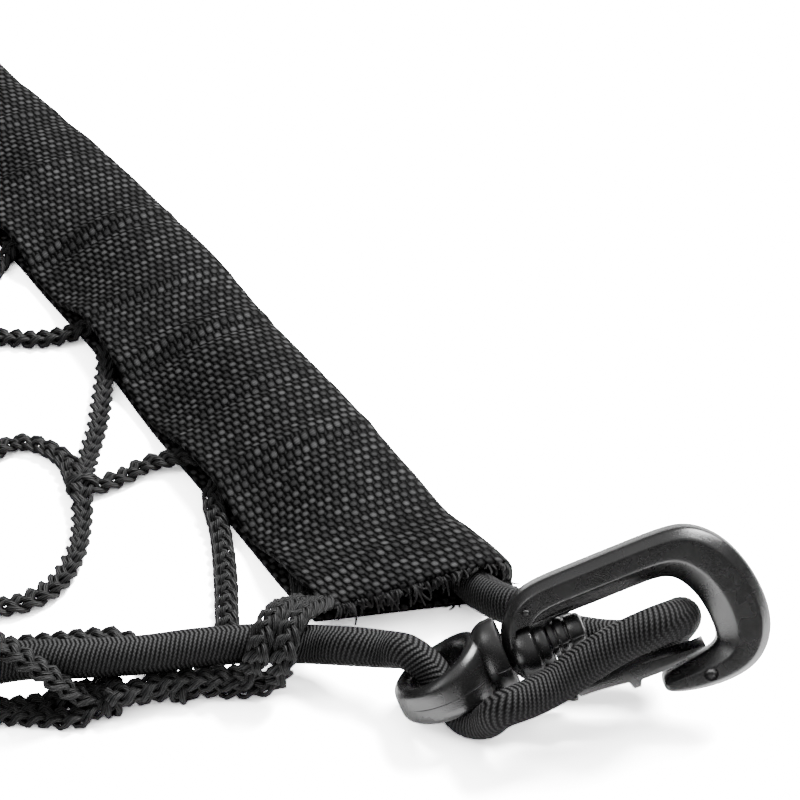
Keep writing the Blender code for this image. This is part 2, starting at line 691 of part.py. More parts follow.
def eye_mesh():
    """Hub, pin and head turned on the swivel axis, and the ring that the cord runs through."""
    body = turned("eye", EYE_TURNED, 12)
    sides, chamfer = 20, 1.1
    verts, faces = [], []
    for k in range(sides):
        angle = 2 * pi * k / sides
        along, across = cos(angle), sin(angle)
        top = EYE_HEIGHT / 2 - (EYE_HEIGHT - EYE_ROOT) / 2 * (along + 1) / 2
        for share, z in ((0, top - chamfer), (0.28, top), (0.72, top), (1, top - chamfer),
                         (1, chamfer - top), (0.72, -top), (0.28, -top), (0, chamfer - top)):
            half = [inner + (outer - inner) * share for inner, outer in zip(EYE_INNER, EYE_OUTER)]
            verts.append((EYE_CENTRE + half[0] * along, half[1] * across, z))
    size = 8
    for k in range(sides):
        one, two = k * size, (k + 1) % sides * size
        faces += [[one + i, one + (i + 1) % size, two + (i + 1) % size, two + i]
                  for i in range(size)]
    ring = add("ring", mesh_from("ring", verts, faces), "hook_plastic")
    merge(body, ring, "UNION")
    return baked(body, ring)


def build_hooks():
    """Body, gate and swivel eye at each corner, from shared meshes."""
    body, eye = hook_mesh(), eye_mesh()
    gate = baked(prism("gate", GATE, GATE_WIDE, 0.6, 1))
    for corner in CORNERS:
        add(f"hook_{corner}", body, "hook_plastic", hook_matrix(corner, HOOK_ROLL))
        add(f"gate_{corner}", gate, "hook_plastic", hook_matrix(corner, HOOK_ROLL))
        add(f"eye_{corner}", eye, "hook_plastic", hook_matrix(corner, EYE_ROLL - pi / 2))


def main():
    for old in list(bpy.data.objects):
        bpy.data.objects.remove(old)
    build_net()
    build_sleeve("sleeve_right", 1)
    build_sleeve("sleeve_left", -1)
    build_elastic()
    build_hooks()


main()
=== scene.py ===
# %% [markdown]
# # A cargo net
# This lesson builds a small cargo net that lies on a pale floor. The real one has five kinds of
# parts: a knotless net of plaited cord, a strap of webbing folded over each side as a sleeve,
# one elastic cord that runs round the whole edge, and at each corner a moulded snap hook with a
# spring gate and a swivel eye. The solids of all these parts are given and don't move. The
# lesson gives each one its finished shape and its surface.
#
# Sizes are written in millimetres and turned into metres when a mesh is made.

# %% The solids
from itertools import combinations
from math import atan2, copysign, cos, pi, radians, sin

import bpy
import numpy as np
from mathutils import Matrix, Vector, noise


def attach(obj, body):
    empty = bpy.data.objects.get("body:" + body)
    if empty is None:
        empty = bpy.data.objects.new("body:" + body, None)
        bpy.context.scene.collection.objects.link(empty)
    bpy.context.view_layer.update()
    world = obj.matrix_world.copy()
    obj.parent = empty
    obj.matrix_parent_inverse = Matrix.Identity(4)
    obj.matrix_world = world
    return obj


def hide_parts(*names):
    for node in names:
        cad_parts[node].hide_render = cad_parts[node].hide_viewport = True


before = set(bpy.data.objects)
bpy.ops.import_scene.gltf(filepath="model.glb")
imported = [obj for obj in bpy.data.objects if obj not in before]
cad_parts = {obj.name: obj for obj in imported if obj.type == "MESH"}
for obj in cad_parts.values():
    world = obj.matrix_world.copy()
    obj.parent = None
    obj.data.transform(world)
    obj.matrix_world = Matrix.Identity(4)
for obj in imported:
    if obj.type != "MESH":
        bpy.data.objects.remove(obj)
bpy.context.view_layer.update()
MM = 0.001
print("solids:", len(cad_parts), "nodes")

# %% [markdown]
# ## The camera
# The camera looks closely at the front right corner. All of that corner's sizes are counted
# from one point on the floor, and the camera aims at it from the front left, from
# above. A long lens keeps the hook and the far end of the sleeve in the same scale.

# %% The camera
CORNER = Vector((251.5, -173.5, 0))        # the corner's point on the floor, from the net's middle
VIEW_AZIMUTH, VIEW_ELEVATION = radians(-27), radians(37)
VIEW_DISTANCE = 541.0
LENS = 106.5

towards = Vector((sin(VIEW_AZIMUTH) * cos(VIEW_ELEVATION),
                  -cos(VIEW_AZIMUTH) * cos(VIEW_ELEVATION), sin(VIEW_ELEVATION)))
right = Vector((cos(VIEW_AZIMUTH), sin(VIEW_AZIMUTH), 0))
turn = Matrix((right, towards.cross(right), towards)).transposed().to_4x4()
bpy.ops.object.camera_add()
camera = bpy.context.object
camera.matrix_world = Matrix.Translation((CORNER + towards * VIEW_DISTANCE) * MM) @ turn
camera.data.lens = LENS
camera.data.sensor_width = 36.0
camera.data.clip_start = 0.01
bpy.context.scene.camera = camera
print("camera at", [round(x, 3) for x in camera.location])

# %% [markdown]
# ## Helpers for everything that is drawn along a line
# A cord, a yarn of a plait and a thread are all tubes along a smooth line. The line is given by
# a few points. A centripetal Catmull-Rom curve passes through each point and doesn't overshoot
# where the points are unevenly spaced, which a plain one would do.

# %% A smooth line through points
SPAN_POINTS = 12              # samples of the curve between two given points


def way_along(line):
    """How far along a line each of its points is."""
    steps = np.linalg.norm(np.diff(line[:, :3], axis=0), axis=1)
    return np.concatenate(((0,), np.cumsum(steps)))


def spread(line, along, wanted):
    """Points of a line at the wanted distances along it."""
    return np.stack([np.interp(wanted, along, column) for column in line.T], axis=1)


def line_through(points, step, closed=False):
    """Points every step mm along a smooth curve; columns after the third ride along."""
    p = np.array([tuple(q) for q in points], float)
    if closed:
        p = np.vstack((p[-1], p, p[0], p[1]))
    else:
        p = np.vstack((2 * p[0] - p[1], p, 2 * p[-1] - p[-2]))
    drawn = []
    for a, b, c, d in zip(p, p[1:], p[2:], p[3:]):
        gaps = [max(np.linalg.norm((y - x)[:3]), 1e-6) ** 0.5 for x, y in ((a, b), (b, c), (c, d))]
        t0, t1 = 0.0, gaps[0]
        t2, t3 = t1 + gaps[1], t1 + gaps[1] + gaps[2]
        t = np.linspace(t1, t2, SPAN_POINTS, endpoint=False)[:, None]
        ab, bc, cd = (((hi - t) * x + (t - lo) * y) / (hi - lo)
                      for x, y, lo, hi in ((a, b, t0, t1), (b, c, t1, t2), (c, d, t2, t3)))
        abc = ((t2 - t) * ab + (t - t0) * bc) / (t2 - t0)
        bcd = ((t3 - t) * bc + (t - t1) * cd) / (t3 - t1)
        drawn.append(((t2 - t) * abc + (t - t1) * bcd) / (t2 - t1))
    drawn.append(p[-2][None])
    drawn = np.vstack(drawn)
    along = way_along(drawn)
    count = max(int(round(along[-1] / step)), 2)
    even = spread(drawn, along, np.linspace(0, along[-1], count + 1))
    return even[:-1] if closed else even


def unit(v):
    """Vectors of length one, a row each."""
    return v / np.maximum(np.linalg.norm(v, axis=-1, keepdims=True), 1e-9)


# %% [markdown]
# A tube also needs to know how it is turned at each step. A net cord lies flat, so its side
# points across it along the floor. Where it climbs over the elastic it is nearly upright, and
# there the side is carried on from the step before.

# %% How a cord lies
LEVELLING = 0.25              # how soon a side turns level again after a climb


def lie(line, closed=False):
    """Directions along a line, to its side and out of its flat side."""
    if closed:
        ahead = np.roll(line, -1, axis=0) - np.roll(line, 1, axis=0)
    else:
        ahead = np.gradient(line, axis=0)
    ahead = unit(ahead[:, :3])
    side = np.zeros_like(ahead)
    last = unit(np.array((-ahead[0, 1], ahead[0, 0], 1e-6)))
    for i, way in enumerate(ahead):
        level = np.array((-way[1], way[0], 0.0))
        if level @ last < 0:
            level = -level
        last = last + level * LEVELLING * (level @ level)
        last = unit(last - way * (last @ way))
        side[i] = last
    return ahead, side, np.cross(ahead, side)


# %% Pieces
def new_piece(name, points, faces, uvs):
    """A piece from points in metres, faces, and two UV values for each corner of a face."""
    mesh = bpy.data.meshes.new(name)
    mesh.from_pydata(points, [], faces)
    mesh.uv_layers.new(name="UVMap").data.foreach_set("uv", uvs)
    mesh.shade_smooth()
    made = bpy.data.objects.new(name, mesh)
    bpy.context.scene.collection.objects.link(made)
    return made


def pick(made):
    """Makes a piece the only selected one, and the active one."""
    bpy.ops.object.select_all(action="DESELECT")
    made.select_set(True)
    bpy.context.view_layer.objects.active = made


def finish_with(made, kind, **settings):
    """Adds one modifier to a piece and applies it."""
    pick(made)
    modifier = made.modifiers.new(kind.lower(), kind)
    for key, value in settings.items():
        setattr(modifier, key, value)
    bpy.ops.object.modifier_apply(modifier=modifier.name)


# %% Tubes as a mesh
class Tubes:
    """Gathers tubes and makes them one mesh, with a UV map: along the tube in mm, and round it."""

    def __init__(self):
        self.points, self.faces, self.uvs, self.count = [], [], [], 0

    def add(self, line, side, up, radius, sides, closed=False):
        n = len(line)
        angle = np.arange(sides) * 2 * pi / sides
        radius = np.broadcast_to(np.asarray(radius, float), (n,))[:, None, None]
        ring = (line[:, None, :3] + radius * (side[:, None] * np.cos(angle)[None, :, None]
                                              + up[:, None] * np.sin(angle)[None, :, None]))
        self.points.append(ring.reshape(-1, 3))
        i, j = np.meshgrid(np.arange(n if closed else n - 1), np.arange(sides), indexing="ij")
        i, j = i.ravel(), j.ravel()
        i2, j2 = (i + 1) % n, (j + 1) % sides
        quads = np.stack((i * sides + j, i * sides + j2, i2 * sides + j2, i2 * sides + j), axis=1)
        steps = np.linalg.norm(np.diff(line[:, :3], axis=0, append=line[:1, :3]), axis=1)
        along = np.concatenate(((0,), np.cumsum(steps)))
        u = np.stack((along[i], along[i], along[i + 1], along[i + 1]), axis=1)
        v = np.stack((j, j + 1, j + 1, j), axis=1) / sides
        self.faces += (quads + self.count).tolist()
        self.uvs.append(np.stack((u, v), axis=2).reshape(-1, 2))
        if not closed:
            for start, order in ((0, -1), ((n - 1) * sides, 1)):
                cap = (np.arange(sides)[::order] + start + self.count).tolist()
                self.faces.append(cap)
                self.uvs.append(np.zeros((sides, 2)))
        self.count += n * sides

    def build(self, name):
        print(name, len(self.faces), "faces")
        return new_piece(name, (np.vstack(self.points) * MM).tolist(), self.faces,
                         np.vstack(self.uvs).ravel())


# %% [markdown]
# The four corners are reflections of the shown one. Its own frame has the net's axes and starts
# at its point on the floor, so a place there is reflected to the other corners by a change of
# sign.

# %% The four corners
LYING = 1.8                   # height of a plait that lies on the floor
CORNERS = {
    "front_right": (1, 1),
    "front_left": (-1, 1),
    "back_right": (1, -1),
    "back_left": (-1, -1),
}


def reflect(place, corner):
    """A place in the corner's frame to the net's frame; without a height it is a lying cord's."""
    across, along = CORNERS[corner]
    at = CORNER + Vector((*place, LYING)[:3])
    return Vector((at.x * across, at.y * along, at.z))


# %% [markdown]
# ## The net's plan
# The net is a lattice of crossings, 13 columns by 19 rows, with a joint on every other one. The
# side joints lie in the sleeves. The front and back rows are gathered on the elastic: every
# second cord runs over it and the others under it. Near the corners the cords lie as they fell,
# and there the joints and cords have places of their own.

# %% Sizes of the net
COLUMNS, ROWS = 12, 18
COLUMN_STEP, ROW_STEP = 34.0, 25.5
SLEEVE_WIDTH, KNOT_DEPTH, MEAN_FOLD = 37.0, 7.5, -18.0
FRONT_ROW, FRONT_LINE, FRONT_LEVEL = -56.0, -50.0, 8.8
MIDDLE = FRONT_ROW + ROWS * ROW_STEP / 2
IN_SLEEVE = 3.7               # height of a plait on the strap's lower layer
ELASTIC_R = 3.9
FIRST_ROWS = (11.0, -12.0)    # places of the first two rows, from the elastic inwards
GATHER = 22.0                 # how far the front and back pull the rows behind them

FOLD_LINE = (                 # along the sleeve, place of its folded outer edge
    (-71.0, -10.6), (-50.0, -13.5), (-20.0, -16.0), (15.0, -18.0), (50.0, -19.0),
    (90.0, -21.5), (116.0, -25.0), (141.0, -28.6), (160.0, -32.3), (MIDDLE, -33.6),
)
HALF_KNOTS = (-54.0, -9.0, 48.0, 103.0, 150.0)
KNOT_ROWS = HALF_KNOTS + tuple(2 * MIDDLE - y for y in reversed(HALF_KNOTS))


def read(table, x):
    """Straight reading between the rows of a two-column table."""
    return float(np.interp(x, [row[0] for row in table], [row[1] for row in table]))


def folded(y):
    """The strap is alike towards both ends, so tables are read from the nearer one."""
    return min(y, 2 * MIDDLE - y)


def fold_line(y):
    """Place of the sleeve's folded edge."""
    return read(FOLD_LINE, folded(y))


# %% Places of the joints
CORNER_JOINTS = (             # column, row, place; on the floor where no height is given
    (0, 0, -44.0, -49.0, IN_SLEEVE),
    (1, 1, -81.5, -67.0),
    (1.5, 0.5, -95.8, -64.0),
    (1, 3, -76.7, 1.2),
    (1, 5, -84.0, 66.0),
    (2, 0, -124.5, -40.0),
    (2, 2, -127.0, -28.5),
    (2, 4, -114.0, 27.0),
)


def lattice_joint(column, row):
    """Place of a plain joint: bowed in with the sleeves and gathered at front and back."""
    side = -1 if column > COLUMNS / 2 else 1
    near = min(column, COLUMNS - column)
    depth = min(row, ROWS - row)
    y = depth * ROW_STEP + FRONT_ROW
    if near == 0:
        y = KNOT_ROWS[row // 2]
    elif depth < len(FIRST_ROWS):
        y = FRONT_LINE + FIRST_ROWS[depth]
    else:
        y -= GATHER * (1 - depth / (ROWS / 2)) ** 1.3
    if near and row > ROWS / 2:
        y = 2 * MIDDLE - y
    bow = (fold_line(y) - MEAN_FOLD) * (1 - near / (COLUMNS / 2)) ** 1.5
    x = MEAN_FOLD - SLEEVE_WIDTH + KNOT_DEPTH - near * COLUMN_STEP + bow
    at = CORNER + Vector((x, y, IN_SLEEVE if near == 0 else LYING))
    return Vector((at.x * side, at.y, at.z))


def at_corner(key, corner):
    """Column and row of a front right joint at another corner."""
    across, along = CORNERS[corner]
    column, row = key
    return (column if across == 1 else COLUMNS - column, row if along == 1 else ROWS - row)


joints = {(c, r): lattice_joint(c, r)
          for c in range(COLUMNS + 1) for r in range(ROWS + 1) if (c + r) % 2 == 0}
for corner in CORNERS:
    for column, row, *place in CORNER_JOINTS:
        joints[at_corner((column, row), corner)] = reflect(place, corner)
print("joints:", len(joints))

# %% Cords at a corner, listed
CORNER_CORDS = (              # column and row of both ends, then the points between
    (0, 0, 1, 1, ((-46.5, -57.5, 4.4), (-50.0, -63.0, 8.6), (-55.6, -68.4, 13.4),
                  (-61.1, -73.1, 14.6), (-64.4, -77.0, 11.6), (-66.0, -76.0, 5.6),
                  (-71.8, -71.4, 2.2))),
    (0, 2, 1, 1, ((-53.6, -16.9, 3.6), (-56.2, -26.5, 2.2), (-59.2, -35.5),
                  (-63.9, -47.1), (-69.4, -58.4))),
    (2, 2, 1, 1, ((-109.4, -39.0), (-103.8, -40.9), (-98.2, -42.8),
                  (-92.5, -44.7), (-87.5, -47.2), (-85.1, -53.0),
                  (-83.2, -60.5))),
    (1.5, 0.5, 1, 1, ((-88.7, -64.8, 2.6),)),
    (2, 0, 1.5, 0.5, ((-122.6, -41.6, 5.2), (-120.6, -43.6, 12.0), (-115.8, -49.6, 16.0),
                      (-110.6, -56.6, 14.6), (-105.6, -60.4, 10.0), (-101.0, -62.0, 5.0))),
    (1.5, 0.5, 3, 1, ((-102.6, -64.6), (-109.6, -60.6), (-116.6, -56.4),
                      (-122.6, -56.2), (-129.0, -60.2), (-137.0, -62.6))),
    (0, 2, 1, 3, ((-51.4, -2.6, IN_SLEEVE), (-60.6, 1.7, 2.2), (-68.2, 0.4))),
    (0, 4, 1, 3, ((-53.4, 45.1, 3.9), (-57.7, 36.3, 2.6), (-65.2, 21.3),
                  (-71.8, 10.4))),
    (2, 4, 1, 3, ((-99.0, 21.0), (-88.0, 22.0), (-84.4, 22.6),
                  (-79.8, 19.0), (-76.6, 11.4))),
    (2, 2, 1, 3, ((-114.0, -26.8), (-105.5, -27.7), (-100.4, -28.5),
                  (-93.1, -26.4), (-85.6, -18.5), (-80.4, -8.4))),
    (0, 4, 1, 5, ((-51.9, 54.2, 3.7), (-61.3, 56.2, 2.2), (-67.8, 58.6),
                  (-73.8, 62.6))),
    (0, 6, 1, 5, ((-54.7, 98.0, 3.7), (-60.2, 95.5, 2.2), (-67.5, 88.0))),
)
REPLACED = ((2, 0, 1, 1),)
DOUBLED = (                   # loose second plaits, one over the elastic and one before it
    ((-47.5, -48.0, 4.0), (-50.6, -56.4, 4.9), (-54.8, -61.8, 9.6), (-60.2, -66.4, 14.0),
     (-65.5, -70.9, 14.9), (-68.8, -74.4, 11.8), (-70.8, -73.2, 6.4), (-76.6, -69.8, 5.0),
     (-84.5, -66.4, 5.2), (-90.5, -66.0, 5.0), (-96.5, -65.0, 5.2)),
    ((-92.6, -61.0, 4.6), (-98.4, -59.6, 3.0), (-104.5, -58.4), (-110.6, -57.2),
     (-117.0, -54.9), (-123.4, -55.0), (-130.2, -56.6),
     (-138.0, -59.0), (-145.0, -58.6, 3.0), (-151.0, -60.6, 5.0)),
)

# %% Cords of the plain lattice
OVER_R = ELASTIC_R + 2.2      # from the elastic's middle to that of a cord that runs over it
OVER = ((0.42, 190), (0.45, 140), (0.50, 90), (0.55, 40), (0.58, -10))
OVER_START, OVER_END = Vector((8.2, 4.2)), Vector((0.87, -1.2))
UNDER = ((0.16, 0.0), (0.47, 12.0))
EDGE_BOW = ((0.25, 3.4), (0.75, 3.4))
CLIMB = ((3.0, IN_SLEEVE), (10.0, LYING))
SLACK = 2.2


def front_route(front, back, over):
    """Way from a joint before the elastic to one behind it, over the elastic or under it."""
    toward = -1 if front.y > 0 else 1
    line = (CORNER.y + FRONT_LINE) * toward
    across = back.x - front.x
    if not over:
        return [Vector((front.x + across * share, line + behind * toward, LYING))
                for share, behind in UNDER]
    route = [Vector((front.x + copysign(OVER_START.x, across), front.y + OVER_START.y * toward,
                     LYING))]
    for share, angle in OVER:
        route.append(Vector((front.x + across * share,
                             line + OVER_R * cos(radians(angle)) * toward,
                             FRONT_LEVEL + OVER_R * sin(radians(angle)))))
    route.append(Vector((front.x + across * OVER_END.x, back.y + OVER_END.y * toward, LYING)))
    return route


def plain_route(a, b, column, row):
    """A cord between two plain joints, a little off the straight line."""
    way = b - a
    off = Vector((-way.y, way.x, 0)).normalized() * SLACK * sin(column * 2.3 + row * 1.7)
    return [(a + b) / 2 + off]


def climb_route(edge, inner):
    """A cord that climbs over the strap's lower layer to a joint in the sleeve."""
    way = inner - edge
    points = []
    for beyond, level in CLIMB:
        at = edge + way * ((KNOT_DEPTH + beyond) / abs(way.x))
        points.append(Vector((at.x, at.y, level)))
    return points


# %% All cords of the net
cords, done = [], set()
for corner in CORNERS:
    for *ends, route in CORNER_CORDS:
        a, b = at_corner(ends[:2], corner), at_corner(ends[2:], corner)
        cords.append((a, b, [reflect(p, corner) for p in route]))
        done.add(frozenset((a, b)))
    for ends in REPLACED:
        done.add(frozenset((at_corner(ends[:2], corner), at_corner(ends[2:], corner))))
for a, at in sorted(joints.items()):
    column, row = a
    for step in (1, -1):
        b = (column + 1, row + step)
        if b not in joints or frozenset((a, b)) in done:
            continue
        end_row = 0 if row < ROWS / 2 else ROWS
        front_row = abs(end_row - 1)
        if front_row in (row, b[1]):
            front, back = (a, b) if row == front_row else (b, a)
            route = front_route(joints[front], joints[back], over=back[1] == end_row)
            cords.append((front, back, route))
        elif column == 0 or b[0] == COLUMNS:
            edge, inner = (a, b) if column == 0 else (b, a)
            cords.append((edge, inner, climb_route(joints[edge], joints[inner])))
        else:
            cords.append((a, b, plain_route(joints[a], joints[b], column, row)))
for row in (1, ROWS - 1):
    outward = -1 if row == 1 else 1
    for column in range(3, COLUMNS - 3, 2):
        a, b = (column, row), (column + 2, row)
        way = joints[b] - joints[a]
        cords.append((a, b, [joints[a] + way * share + Vector((0, bow * outward, 0))
                             for share, bow in EDGE_BOW]))
print("cords:", len(cords))

# %% [markdown]
# ## From short cords to long strands
# A joint isn't a knot: the cords run on through it and are stitched together there. So at each
# joint the two ends that lead on most nearly straight are joined to one strand, and so are the
# next two. One strand of a crossing lies a little higher than the other. Each quarter of the net
# is a piece of its own, which keeps the meshes a handy size, so strands end between quarters.

# %% Strands
CROSSING_LIFT = 1.5


def quarter(point):
    """The corner that a place is nearest to."""
    across, along = ("right" if point.x > 0 else "left"), ("front" if point.y < 0 else "back")
    return f"{along}_{across}"


lines = []
ends_at = {key: [] for key in joints}
for number, (a, b, route) in enumerate(cords):
    line = [joints[a], *route, joints[b]]
    home = quarter((line[0] + line[-1]) / 2)
    lines.append((line, home))
    ends_at[a].append((number, 0, (line[1] - line[0]).normalized(), home))
    ends_at[b].append((number, 1, (line[-2] - line[-1]).normalized(), home))

partner, highlight_mask = {}, set()
for key, ends in ends_at.items():
    free = list(ends)
    while len(free) > 1:
        pairs = [p for p in combinations(free, 2) if p[0][3] == p[1][3] and p[0][0] != p[1][0]]
        if not pairs:
            break
        one, two = min(pairs, key=lambda p: p[0][2].dot(p[1][2]))
        partner[one[:2]], partner[two[:2]] = two[:2], one[:2]
        if len(free) == len(ends) and len(ends) > 2:
            highlight_mask.add(one[:2])
        free.remove(one)
        free.remove(two)


def follow(number, end):
    """The whole strand that starts at this end of this cord, as points."""
    points = []
    while True:
        seen.add(number)
        line, home = lines[number]
        points += (line if end == 0 else line[::-1])[1 if points else 0:]
        leaving = (number, 1 - end)
        if leaving not in partner or partner[leaving][0] in seen:
            return points, home
        if leaving in highlight_mask or partner[leaving] in highlight_mask:
            points[-1] = points[-1] + Vector((0, 0, CROSSING_LIFT))
        number, end = partner[leaving]


seen, strands = set(), []
open_ends = [(n, e) for n in range(len(lines)) for e in (0, 1) if (n, e) not in partner]
for number, end in open_ends + [(n, 0) for n in range(len(lines))]:
    if number not in seen:
        strands.append(follow(number, end))
total = sum((b - a).length for points, _ in strands for a, b in zip(points, points[1:]))
print("strands:", len(strands), "with", round(total / 1000, 2), "m of cord")

# %% [markdown]
# ## The plait
# The cord is plaited from three yarns of two strands each. Each yarn swings from one side to the
# other and back, a third of its way behind the one before, and it rises and dips twice on the
# way, so that each passes over and under its neighbours. The strands are real tubes here, because
# the scalloped edge and the small holes between them show. How wide the yarns swing varies, so
# some stretches are slack and open.

# %% Plaiting
TURN_LENGTH = 10.0            # one yarn's full way across and back
STRAND_R, STRANDS_APART = 0.62, 0.60
SWING, SWING_VARIES, SLOWLY = 1.50, 0.30, 0.045
RISE, ROLL, SWELL = 0.85, 0.5, 0.10


def plait(tubes, points, seed, per_turn, sides):
    """Three yarns along a strand."""
    line = line_through(points, TURN_LENGTH / per_turn)
    _, side, up = lie(line)
    steps = np.arange(len(line)) * 2 * pi / per_turn
    loose = np.array([noise.noise(Vector((i * SLOWLY, seed * 7.1, 0))) for i in range(len(line))])
    swing = SWING * (1 + SWING_VARIES * loose)
    for yarn in range(3):
        angle = steps + yarn * 2 * pi / 3
        centre = (line + side * (swing * np.sin(angle))[:, None]
                  + up * (RISE * np.sin(2 * angle))[:, None])
        way = unit(np.gradient(centre, axis=0))
        out = unit(side - way * np.sum(side * way, axis=1, keepdims=True))
        roll = ROLL * np.sin(angle * 2 + 1.0)[:, None]
        apart = (out * np.cos(roll) + np.cross(way, out) * np.sin(roll)) * STRANDS_APART
        swell = STRAND_R * (1 + SWELL * np.sin(steps * 0.7 + yarn * 2 + seed))
        for which in (1, -1):
            strand = centre + apart * which
            strand[:, 2] = np.maximum(strand[:, 2], STRAND_R)
            tubes.add(strand, out, np.cross(way, out), swell, sides)


# %% [markdown]
# At a joint a few stitches bind the strands. Two short loops that lean opposite ways go round
# its waist.

# %% Stitches of a joint
STITCH_R = 0.75
STITCH_WIDE, STITCH_HIGH, STITCH_UP = 3.3, 2.1, 0.7    # half sizes of a loop, and its lift
STITCH_LEAN, STITCH_POINTS = 0.35, 16


def stitches(tubes, key, at):
    """Two leaning loops round a joint."""
    leads = [end[2] for end in ends_at[key]]
    if len(leads) < 3:
        return
    one, two = max(combinations(leads, 2), key=lambda p: p[0].dot(p[1]))
    axis = one + two
    angle = atan2(axis.y, axis.x)
    t = np.arange(STITCH_POINTS) * 2 * pi / STITCH_POINTS
    for lean in (STITCH_LEAN, -STITCH_LEAN):
        out = np.array((cos(angle + pi / 2 + lean), sin(angle + pi / 2 + lean), 0))
        loop = (np.array(at) + out * (STITCH_WIDE * np.cos(t))[:, None]
                + np.array((0, 0, 1)) * (STITCH_HIGH * np.sin(t) + STITCH_UP)[:, None])
        loop[:, 2] = np.maximum(loop[:, 2], STITCH_R)
        ahead = unit(np.roll(loop, -1, axis=0) - np.roll(loop, 1, axis=0))
        flat = unit(np.cross(ahead, np.cross(out, (0, 0, 1))))
        tubes.add(loop, flat, np.cross(ahead, flat), STITCH_R, 5, closed=True)


# %% The net's quarters
FINE = {"front_right": (11, 5)}            # steps for each turn, and sides of a strand
PLAIN = (9, 4)
DOUBLED_SEED = 50

net_quarters = []
for corner in CORNERS:
    tubes = Tubes()
    per_turn, sides = FINE.get(corner, PLAIN)
    for seed, (points, home) in enumerate(strands):
        if home == corner:
            plait(tubes, points, seed, per_turn, sides)
    for seed, route in enumerate(DOUBLED):
        plait(tubes, [reflect(p, corner) for p in route], DOUBLED_SEED + seed, per_turn,
              sides)
    for key, at in joints.items():
        if quarter(at) == corner:
            stitches(tubes, key, at)
    net_quarters.append(tubes.build(f"net_{corner}"))

# %% [markdown]
# ## The elastic cord
# One round elastic with a ribbed cover runs through both sleeves and along front and back. At
# each corner it leaves the sleeve, goes behind the hook's base, through the hook's opening, back
# in front and up through the eye. Its route is in three stretches: out of the sleeve and along
# the front it is given in the corner's frame, and at the hook in the hook's own frame.

# %% Where a hook stands
HOOK_AT = Vector((-26.9, -97.2, 12.0))
HOOK_YAW, HOOK_PITCH, HOOK_ROLL = radians(-16), radians(20), radians(31)
EYE_ROLL = radians(24) - pi / 2


def hand_of(corner):
    """1 where a moulding is as at the shown corner, -1 where it is mirrored."""
    return CORNERS[corner][0] * CORNERS[corner][1]


def hook_pose(corner, roll):
    """Frame of a hook: along its swivel axis, across it towards the spine, out of its face."""
    across_sign, along_sign = CORNERS[corner]
    axis = Vector((cos(HOOK_PITCH) * cos(HOOK_YAW), cos(HOOK_PITCH) * sin(HOOK_YAW),
                   sin(HOOK_PITCH)))
    level = Vector((0, 0, 1)).cross(axis).normalized()
    face = axis.cross(level) * sin(roll) - level * cos(roll)
    mirror = Matrix.Diagonal((across_sign, along_sign, 1))
    axis, across = mirror @ axis, mirror @ face.cross(axis)
    facing = Matrix((axis, across, axis.cross(across))).transposed()
    return Matrix.Translation(reflect(HOOK_AT, corner)) @ facing.to_4x4()


# %% The elastic's route
SLEEVE_LEVEL = 5.7
SIDE_FROM, SIDE_POINTS, SIDE_GAP = 34.0, 13, 2.5    # inside a sleeve; the gap is to its fold
ELASTIC_OUT = (               # places out of the sleeve
    (-19.8, -52.0, SLEEVE_LEVEL), (-19.0, -63.0, SLEEVE_LEVEL),
    (-18.6, -71.0, 6.4), (-18.2, -79.0, 9.0),
)
ELASTIC_HOOKED = (            # in the hook's frame, with the radius where it is squeezed
    (6.3, 4.4, -13.2), (11.4, -0.9, -9.8), (18.0, -5.4, -9.4),
    (25.0, -8.4, -9.4), (31.0, -9.4, -8.8, 3.8), (34.3, -7.0, -5.2, 3.7),
    (34.5, -5.0, 0.0, 3.7), (33.2, -3.8, 5.0, 3.8), (29.4, -3.0, 8.0),
    (22.5, -3.1, 8.7), (15.1, -4.2, 8.9), (8.2, -5.7, 9.6, 3.8),
    (2.0, -5.9, 11.3, 3.7), (-3.4, -5.7, 12.2, 3.5), (-7.4, -7.7, 8.0, 3.4),
    (-11.4, -6.8, 2.9, 3.4), (-13.2, -1.7, 0.4, 3.4), (-14.0, 3.4, -0.9, 3.4),
    (-17.0, 7.9, -2.8, 3.5), (-20.6, 9.2, -5.6, 3.7),
)
ELASTIC_ALONG = (             # on to the front
    (-49.5, -78.0, 9.0), (-55.8, -71.4, 6.8), (-65.3, -67.9, 8.2),
    (-76.5, -64.2, FRONT_LEVEL), (-87.8, -60.9, FRONT_LEVEL),
    (-98.5, -56.6, FRONT_LEVEL), (-110.0, -51.6, FRONT_LEVEL),
    (-124.0, FRONT_LINE, FRONT_LEVEL),
)


def elastic_corner(corner):
    """The elastic at one corner, out of the sleeve and on to the front."""
    pose = hook_pose(corner, HOOK_ROLL) @ Matrix.Diagonal((1, 1, hand_of(corner), 1))
    out, along = ([(*reflect(row, corner), ELASTIC_R) for row in table]
                  for table in (ELASTIC_OUT, ELASTIC_ALONG))
    hooked = [(*(pose @ Vector(row[:3])), (*row, ELASTIC_R)[3]) for row in ELASTIC_HOOKED]
    return out + hooked + along


def elastic_front(way):
    """Points along the front, or along the back where way is -1."""
    return [((COLUMNS / 2 - column) * COLUMN_STEP * way, (CORNER.y + FRONT_LINE) * way,
             FRONT_LEVEL, ELASTIC_R) for column in range(4, COLUMNS - 3, 2)]


def elastic_side(side):
    """Points through the sleeve of one side."""
    rows = []
    for y in np.linspace(KNOT_ROWS[0] + SIDE_FROM, KNOT_ROWS[-1] - SIDE_FROM, SIDE_POINTS):
        x = CORNER.x + fold_line(y) - SIDE_GAP - ELASTIC_R
        rows.append((x * side, (CORNER.y + y) * -side, SLEEVE_LEVEL, ELASTIC_R))
    return rows


# %% The elastic
ELASTIC_STEP, ELASTIC_SIDES = 1.6, 20

